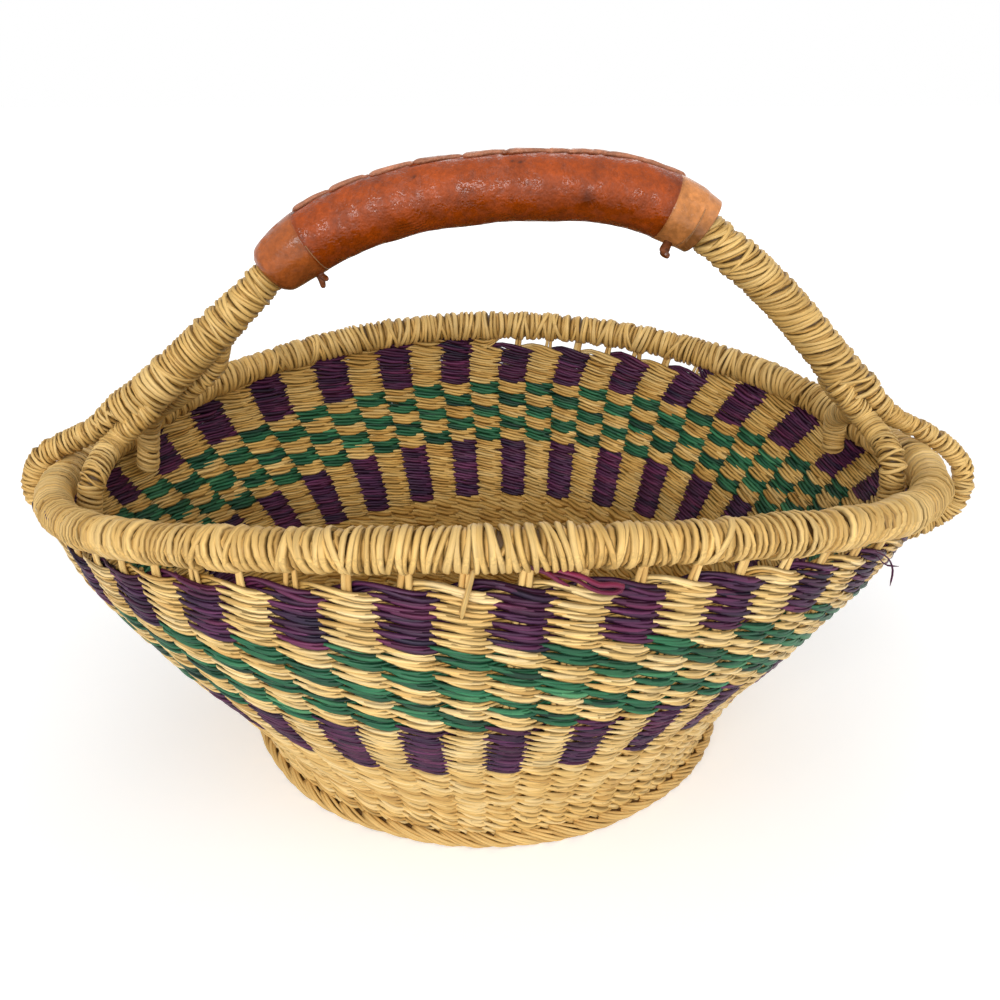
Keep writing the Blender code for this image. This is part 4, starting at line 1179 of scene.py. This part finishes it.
def leather_colour(distance, angle, base):
    """Colour of the grip's leather: darker toward the bottom, partly painted shade and partly stain,
    darker at its seams, with a stain and three dark dots, painted shadow along the lip's edge and
    painted shade on the end strip's lower front."""
    # Painted shade and stain: darker toward the bottom
    below = np.clip((np.cos(angle - math.radians(-156.5)) + 0.35) / 1.35, 0, 1)
    shade = np.ones(distance.shape) * (1 - 0.30 * below)
    shade = shade * (1 + 0.06 * leather_noise(distance * 1.7, angle))
    shade = shade * (1 - 0.70 * near(distance, angle, STAIN, 2.8 * MM, 0.28))
    for dot in DOTS:
        shade = shade * (1 - 0.85 * near(distance, angle, dot, 0.9 * MM, 0.06))
    inside = (distance > LEFT_SEAM) & (distance < RIGHT_SEAM)
    # Painted shadow under the lip's edge
    lip_shadow = np.exp(-((angle - lip_edge(distance) + 0.045) / 0.075) ** 2)
    shade = shade * (1 - np.where(inside, 0.85, 0.0) * lip_shadow)
    for seam in (LEFT_SEAM, RIGHT_SEAM):
        shade = shade * (1 - 0.45 * np.exp(-((distance - seam) / (0.7 * MM)) ** 2))
    # Painted shade on the end strip's lower front
    strip = np.clip((distance - STRIP_SEAM + 2 * MM * np.cos(angle)) / (1.0 * MM), 0, 1)
    shade = shade * (1 - 0.50 * strip * np.clip(-np.cos(angle - 0.5) + 0.4, 0, 1))
    return np.array(base) * shade[:, None]


def leather_sleeve(name, start, end, base, sides, rings):
    """Leather tube along the grip: a cylinder with cuts along it, shaped as the leather lies and
    bent along the handle."""
    length = end - start
    bpy.ops.object.select_all(action="DESELECT")
    bpy.ops.mesh.primitive_cylinder_add(vertices=sides, radius=GRIP_RADIUS, depth=length,
                                        end_fill_type="NOTHING",
                                        location=(GRIP_START + start + length / 2, 0, 0),
                                        rotation=(0, math.pi / 2, 0))
    sleeve = bpy.context.object
    sleeve.name = name
    bpy.ops.object.transform_apply(location=True, rotation=True, scale=True)
    mesh = sleeve.data
    bpy.ops.object.mode_set(mode="EDIT")
    bpy.ops.mesh.select_mode(type="EDGE")
    bpy.ops.mesh.select_all(action="DESELECT")
    bpy.ops.object.mode_set(mode="OBJECT")
    for edge in mesh.edges:
        a, b = (mesh.vertices[i].co for i in edge.vertices)
        edge.select = abs(a.x - b.x) > length / 2
    bpy.ops.object.mode_set(mode="EDIT")
    bpy.ops.mesh.subdivide(number_cuts=rings - 1)
    bpy.ops.object.mode_set(mode="OBJECT")
    places = np.empty(len(mesh.vertices) * 3)
    mesh.vertices.foreach_get("co", places)
    places = places.reshape(-1, 3)
    distance = places[:, 0] - GRIP_START
    angle = np.arctan2(places[:, 1], places[:, 2])
    reach = GRIP_RADIUS * leather_radius(distance, angle)
    places[:, 1], places[:, 2] = reach * np.sin(angle), reach * np.cos(angle)
    mesh.vertices.foreach_set("co", places.reshape(-1))
    # The dye attribute holds the leather's colour with its painted shade and painted shadow
    rgba = np.ones((len(places), 4), np.float32)
    rgba[:, :3] = leather_colour(distance, angle, base)
    mesh.attributes.new("dye", "FLOAT_COLOR", "POINT").data.foreach_set("color", rgba.reshape(-1))
    bend = sleeve.modifiers.new("Bend", "CURVE")
    bend.object = arch_curve()
    bend.deform_axis = "POS_X"
    bpy.ops.object.modifier_apply(modifier="Bend")
    return sleeve


def arch_curve():
    """The handle's centre line as a curve, for bending the leather."""
    if "arch_line" in bpy.data.objects:
        return bpy.data.objects["arch_line"]
    data = bpy.data.curves.new("arch_line", "CURVE")
    data.dimensions = "3D"
    data.twist_mode = "Z_UP"
    spline = data.splines.new("POLY")
    marks = np.linspace(0, ARCH.length, 200)
    spline.points.add(len(marks) - 1)
    for point, place in zip(spline.points, ARCH.point(marks)):
        point.co = (*place, 1.0)
    line = bpy.data.objects.new("arch_line", data)
    bpy.context.scene.collection.objects.link(line)
    return line


def finish_leather(piece, material, slot, *nodes):
    """Give a sleeve its thickness, inwards, and dress it."""
    bpy.context.view_layer.objects.active = piece
    thick = piece.modifiers.new("Thickness", "SOLIDIFY")
    thick.thickness = sizes().leather
    thick.offset = -1.0
    bpy.ops.object.modifier_apply(modifier="Thickness")
    piece.data.shade_smooth()
    dress(piece, material, slot, *nodes)


def grip_frame(distance, angle, reach):
    """Points round the grip, with the directions along it, round it and outward there."""
    distance, angle, reach = np.broadcast_arrays(np.asarray(distance, float), angle, reach)
    centre, along, side, out = ARCH.frame(GRIP_START + distance)
    outward = np.cos(angle)[..., None] * out + np.sin(angle)[..., None] * side
    return centre + reach[..., None] * outward, along, np.cross(outward, along), outward


def build_lip():
    """Rolled, scalloped edge where the back of the leather laps over the front, scallop by scallop,
    each with a blunt start and a tail that goes under the next."""
    wobble = Wobble(SEEDS["lip"])
    # Painted light: the upward-facing lip paler and pinker than the bands
    base = np.array(colours().band) * np.array(LIP_PAINTED_LIGHT)
    bundles = []
    for start, end in LIP_SCALLOPS:
        u = np.linspace(0, 1, 18)
        distance = (start + (end + 3.5 - start) * u) * MM
        blunt = np.clip(u / 0.14, 0.02, 1) ** 0.5 * np.clip((1 - u) / 0.10, 0.02, 1) ** 0.5
        width = lip_width(np.minimum(distance, (end + 0.9) * MM)) * (0.35 + 0.65 * blunt)
        middle = LIP_BACK_ANGLE - width / 2 / GRIP_RADIUS
        reach = GRIP_RADIUS * leather_radius(distance, middle)
        reach = reach + (0.50 * np.sin(math.pi * u) ** 0.7 - 0.05) * MM
        point, along, around, outward = grip_frame(distance, middle, reach)
        thick = 1.55 * MM * blunt * (1 - 0.25 * u)
        shade = base * (0.80 + 0.14 * wobble.along(1, u, 0.3)[0])[:, None]
        bundles.append(one_straw(point, around, outward, width / 2, thick, shade, 12, edge=0.12))
    add_straws("leather_lip", bundles, "Leather", "leather_pale", "leather_lacing")


# Threads along the seams of each end: distances along the grip at a thread's two ends, in
# millimetres, and the angles round it there, in degrees
THREADS = {
    "left": ((22.9, 23.6, -88, -158),),
    "right": ((194.6, 194.0, -100, -150), (193.6, 195.4, -60, -128)),
}
# Hanging ends of the lacing: distances along the grip, angles round it in degrees, distances out
# from the leather and half widths
TIES = {
    "left": (((18.2, -167, -1.5, 1.8), (17.9, -167, 1.5, 1.7), (17.0, -168, 3.6, 1.4),
              (15.8, -169, 5.6, 1.1)),
             ((18.8, -163, -1.5, 1.7), (19.4, -162, 1.5, 1.5), (20.4, -160, 3.2, 1.3),
              (21.2, -158, 4.4, 1.1))),
    "right": (((189.0, -150, -1.5, 1.9), (188.9, -150, 2.0, 2.0), (188.7, -150, 4.4, 2.3),
               (188.2, -150, 6.2, 2.2)),
              ((188.2, -150, 4.6, 2.0), (190.0, -150, 5.4, 2.1), (191.6, -149, 5.8, 1.7),
               (192.8, -149, 5.2, 1.2))),
}


def thread(first, last, first_angle, last_angle):
    distance = np.linspace(first, last, 20) * MM
    angle = np.radians(np.linspace(first_angle, last_angle, 20))
    reach = GRIP_RADIUS * leather_radius(distance, angle) + 0.12 * MM
    point, along, around, outward = grip_frame(distance, angle, reach)
    return one_straw(point, along, outward, 0.22 * MM, 0.20 * MM, THREAD_SHADE, 6)


def strap(spots, shade):
    """One hanging end of the lacing, as a flat strap through its spots."""
    distance, degrees, off, half = np.array(spots).T
    point = grip_frame(distance * MM, np.radians(degrees), GRIP_RADIUS * 0.97 + off * MM)[0]
    route = Route(point, 6)
    marks = np.linspace(0, route.length, len(shade))
    point, line, side, out = route.frame(marks)
    half = np.interp(marks / route.length, np.linspace(0, 1, len(spots)), half) * MM
    half = half * np.clip((route.length - marks) / (1.0 * MM) + 0.25, 0, 1) ** 0.5
    return one_straw(point, np.cross(line, side), side, half, 0.55 * half, shade, 10)


def build_ties():
    """Split ends of the lacing that hang under both end bands, and the threads of the seams."""
    dark_to_light = np.linspace(0.35, 0.75, 16)[:, None]
    shade = np.array(colours().leather) * np.array(TIE_TINT) * dark_to_light
    for end, straps in TIES.items():
        bundles = [strap(spots, shade) for spots in straps]
        bundles += [thread(*course) for course in THREADS[end]]
        add_straws("leather_end_" + end, bundles, "Leather", "leather", "leather_tie_" + end)


def build_leather():
    """Cover and end bands of the grip, its lip and its ties."""
    leather, band = np.array(colours().leather), np.array(colours().band)
    sleeves = (
        ("leather_grip", LEFT_SEAM - 1 * MM, RIGHT_SEAM + 1 * MM, leather, 140, 220,
         "Leather", "leather", "leather_cover"),
        ("leather_band_left", 0.0, LEFT_SEAM, leather * 0.66 + band * 0.24, 96, 36,
         "Band Leather", "leather_pale", "leather_collar_left"),
        ("leather_band_right", RIGHT_SEAM, GRIP_LENGTH, band, 96, 34,
         "Band Leather", "leather_pale", "leather_collar_right"),
    )
    for *shape, material, slot, node in sleeves:
        finish_leather(leather_sleeve(*shape), material, slot, node)
    bpy.data.objects.remove(bpy.data.objects["arch_line"])
    build_lip()
    build_ties()


class BASKET_OT_weave(bpy.types.Operator):
    """Weave the four bands and set their stakes"""
    bl_idname = "basket.weave"
    bl_label = "Weave Wall"

    def execute(self, context):
        for band in BANDS:
            weave_band(band)
        build_stakes()
        return {"FINISHED"}


class BASKET_OT_loose(bpy.types.Operator):
    """Lay the loose straws on the wall"""
    bl_idname = "basket.loose"
    bl_label = "Lay Loose Straws"

    def execute(self, context):
        build_loose()
        return {"FINISHED"}


class BASKET_OT_rim(bpy.types.Operator):
    """Wind the rim with straw"""
    bl_idname = "basket.rim"
    bl_label = "Wind Rim"

    def execute(self, context):
        build_rim()
        return {"FINISHED"}


class BASKET_OT_handle(bpy.types.Operator):
    """Wind both halves of the handle with straw"""
    bl_idname = "basket.handle"
    bl_label = "Wind Handle"

    def execute(self, context):
        build_handle()
        return {"FINISHED"}


class BASKET_OT_legs(bpy.types.Operator):
    """Wind the six legs that join the handle to the rim"""
    bl_idname = "basket.legs"
    bl_label = "Wind Legs"

    def execute(self, context):
        build_legs()
        return {"FINISHED"}


class BASKET_OT_leather(bpy.types.Operator):
    """Cover the grip with laced leather"""
    bl_idname = "basket.leather"
    bl_label = "Cover Grip"

    def execute(self, context):
        build_leather()
        return {"FINISHED"}


class BASKET_OT_base(bpy.types.Operator):
    """Plait the foot and weave the floor"""
    bl_idname = "basket.base"
    bl_label = "Weave Base"

    def execute(self, context):
        build_foot()
        build_floor()
        return {"FINISHED"}


class BASKET_OT_stage(bpy.types.Operator):
    """Add the floor, lights and camera"""
    bl_idname = "basket.stage"
    bl_label = "Set Stage"

    def execute(self, context):
        build_stage()
        return {"FINISHED"}


# Camera: place, turn and tilt in radians, and focal length in millimetres
CAMERA_PLACE = (RIM_MIDDLE_X - 13.66 * MM, -457.37 * MM, 309.95 * MM)
CAMERA_YAW = 0.035
CAMERA_PITCH = 0.411
CAMERA_LENS = 37.195
# Light of the surroundings, which the camera itself sees as plain white
WORLD_LIGHT = 0.42
# Lamps: place, width and height, and power. All of them point at the basket's middle
LAMPS = {
    "key": ((-0.35, -1.90, 0.85), (2.0, 0.20), 29.0),
    "top": ((-0.3, -0.9, 2.0), (1.3, 1.3), 6.0),
    "fill": ((1.6, -0.8, 1.0), (1.2, 1.2), 5.0),
    "back": ((0.3, 1.6, 1.3), (1.2, 1.2), 6.0),
}
LAMP_TARGET = Vector((0, 0, 0.12))


def build_stage():
    scene = bpy.context.scene
    scene.view_settings.view_transform = "Standard"
    data = bpy.data.cameras.new("camera")
    data.lens = CAMERA_LENS
    data.sensor_width = 36.0
    data.clip_start = 0.01
    camera = bpy.data.objects.new("camera", data)
    scene.collection.objects.link(camera)
    camera.location = CAMERA_PLACE
    camera.rotation_euler = (math.pi / 2 - CAMERA_PITCH, 0.0, -CAMERA_YAW)
    scene.camera = camera

    bpy.ops.mesh.primitive_plane_add(size=12.0, location=(0, 0, 0))
    floor = bpy.context.object
    floor.name = "floor"
    floor.data.materials.append(floor_material())

    world = bpy.data.worlds.new("studio")
    scene.world = world
    world.use_nodes = True
    tree = world.node_tree
    background = tree.nodes["Background"]
    background.inputs["Color"].default_value = WHITE
    strength = map_range(tree, seen_by_camera(tree), 0.0, 1.0, WORLD_LIGHT, 1.0)
    tree.links.new(strength, background.inputs["Strength"])

    for name, (place, (wide, high), power) in LAMPS.items():
        light = bpy.data.lights.new(name, "AREA")
        light.shape = "RECTANGLE"
        light.size, light.size_y = wide, high
        light.energy = power
        lamp = bpy.data.objects.new(name, light)
        scene.collection.objects.link(lamp)
        lamp.location = place
        lamp.rotation_euler = (LAMP_TARGET - Vector(place)).to_track_quat("-Z", "Y").to_euler()


def seen_by_camera(tree):
    """1 where the camera sees the backdrop, straight or in a reflection."""
    path = tree.nodes.new("ShaderNodeLightPath")
    seen = calculate(tree, "MAXIMUM", path.outputs["Is Camera Ray"], path.outputs["Is Glossy Ray"])
    return calculate(tree, "MAXIMUM", seen, path.outputs["Is Transmission Ray"])


def floor_material():
    """Pale floor that keeps the basket's shadow and runs out to white."""
    material, tree, shader = new_material("Studio Floor", 0.9, 0.1)
    shader.inputs["Base Color"].default_value = (0.93, 0.93, 0.93, 1.0)
    away = add_node(tree, "ShaderNodeVectorMath", {0: object_place(tree)}, operation="LENGTH")
    lift = map_range(tree, away.outputs["Value"], 0.25, 1.4, 0.30, 0.75)
    seen = calculate(tree, "MULTIPLY", lift, seen_by_camera(tree))
    glow = add_node(tree, "ShaderNodeEmission", {"Color": WHITE, "Strength": seen})
    both = add_node(tree, "ShaderNodeAddShader", {0: shader.outputs[0], 1: glow.outputs[0]})
    tree.links.new(both.outputs[0], tree.nodes["Material Output"].inputs["Surface"])
    return material


class BASKET_PT_tools(bpy.types.Panel):
    """Sizes, colours and steps of the basket"""
    bl_idname = "BASKET_PT_tools"
    bl_label = "Bolga Basket"
    bl_space_type = "VIEW_3D"
    bl_region_type = "UI"
    bl_category = "Basket"

    def draw(self, context):
        layout = self.layout
        for group in (context.scene.basket_sizes, context.scene.basket_colours):
            column = layout.column()
            for name in group.__annotations__:
                column.prop(group, name)
        steps = layout.column()
        for step in STEPS:
            steps.operator("basket." + step)


STEPS = ("base", "weave", "loose", "rim", "handle", "legs", "leather", "stage")
CLASSES = (BasketSizes, BasketColours, BASKET_OT_base, BASKET_OT_weave, BASKET_OT_loose,
           BASKET_OT_rim, BASKET_OT_handle, BASKET_OT_legs, BASKET_OT_leather, BASKET_OT_stage,
           BASKET_PT_tools)


def register():
    for each in CLASSES:
        bpy.utils.register_class(each)
    bpy.types.Scene.basket_sizes = PointerProperty(type=BasketSizes)
    bpy.types.Scene.basket_colours = PointerProperty(type=BasketColours)


def unregister():
    del bpy.types.Scene.basket_colours
    del bpy.types.Scene.basket_sizes
    for each in reversed(CLASSES):
        bpy.utils.unregister_class(each)


def main():
    register()
    bpy.ops.object.select_all(action="DESELECT")
    bpy.ops.basket.base()
    bpy.ops.basket.weave()
    bpy.ops.basket.loose()
    bpy.ops.basket.rim()
    bpy.ops.basket.handle()
    bpy.ops.basket.legs()
    bpy.ops.basket.leather()
    bpy.ops.basket.stage()


if __name__ == "__main__":
    main()
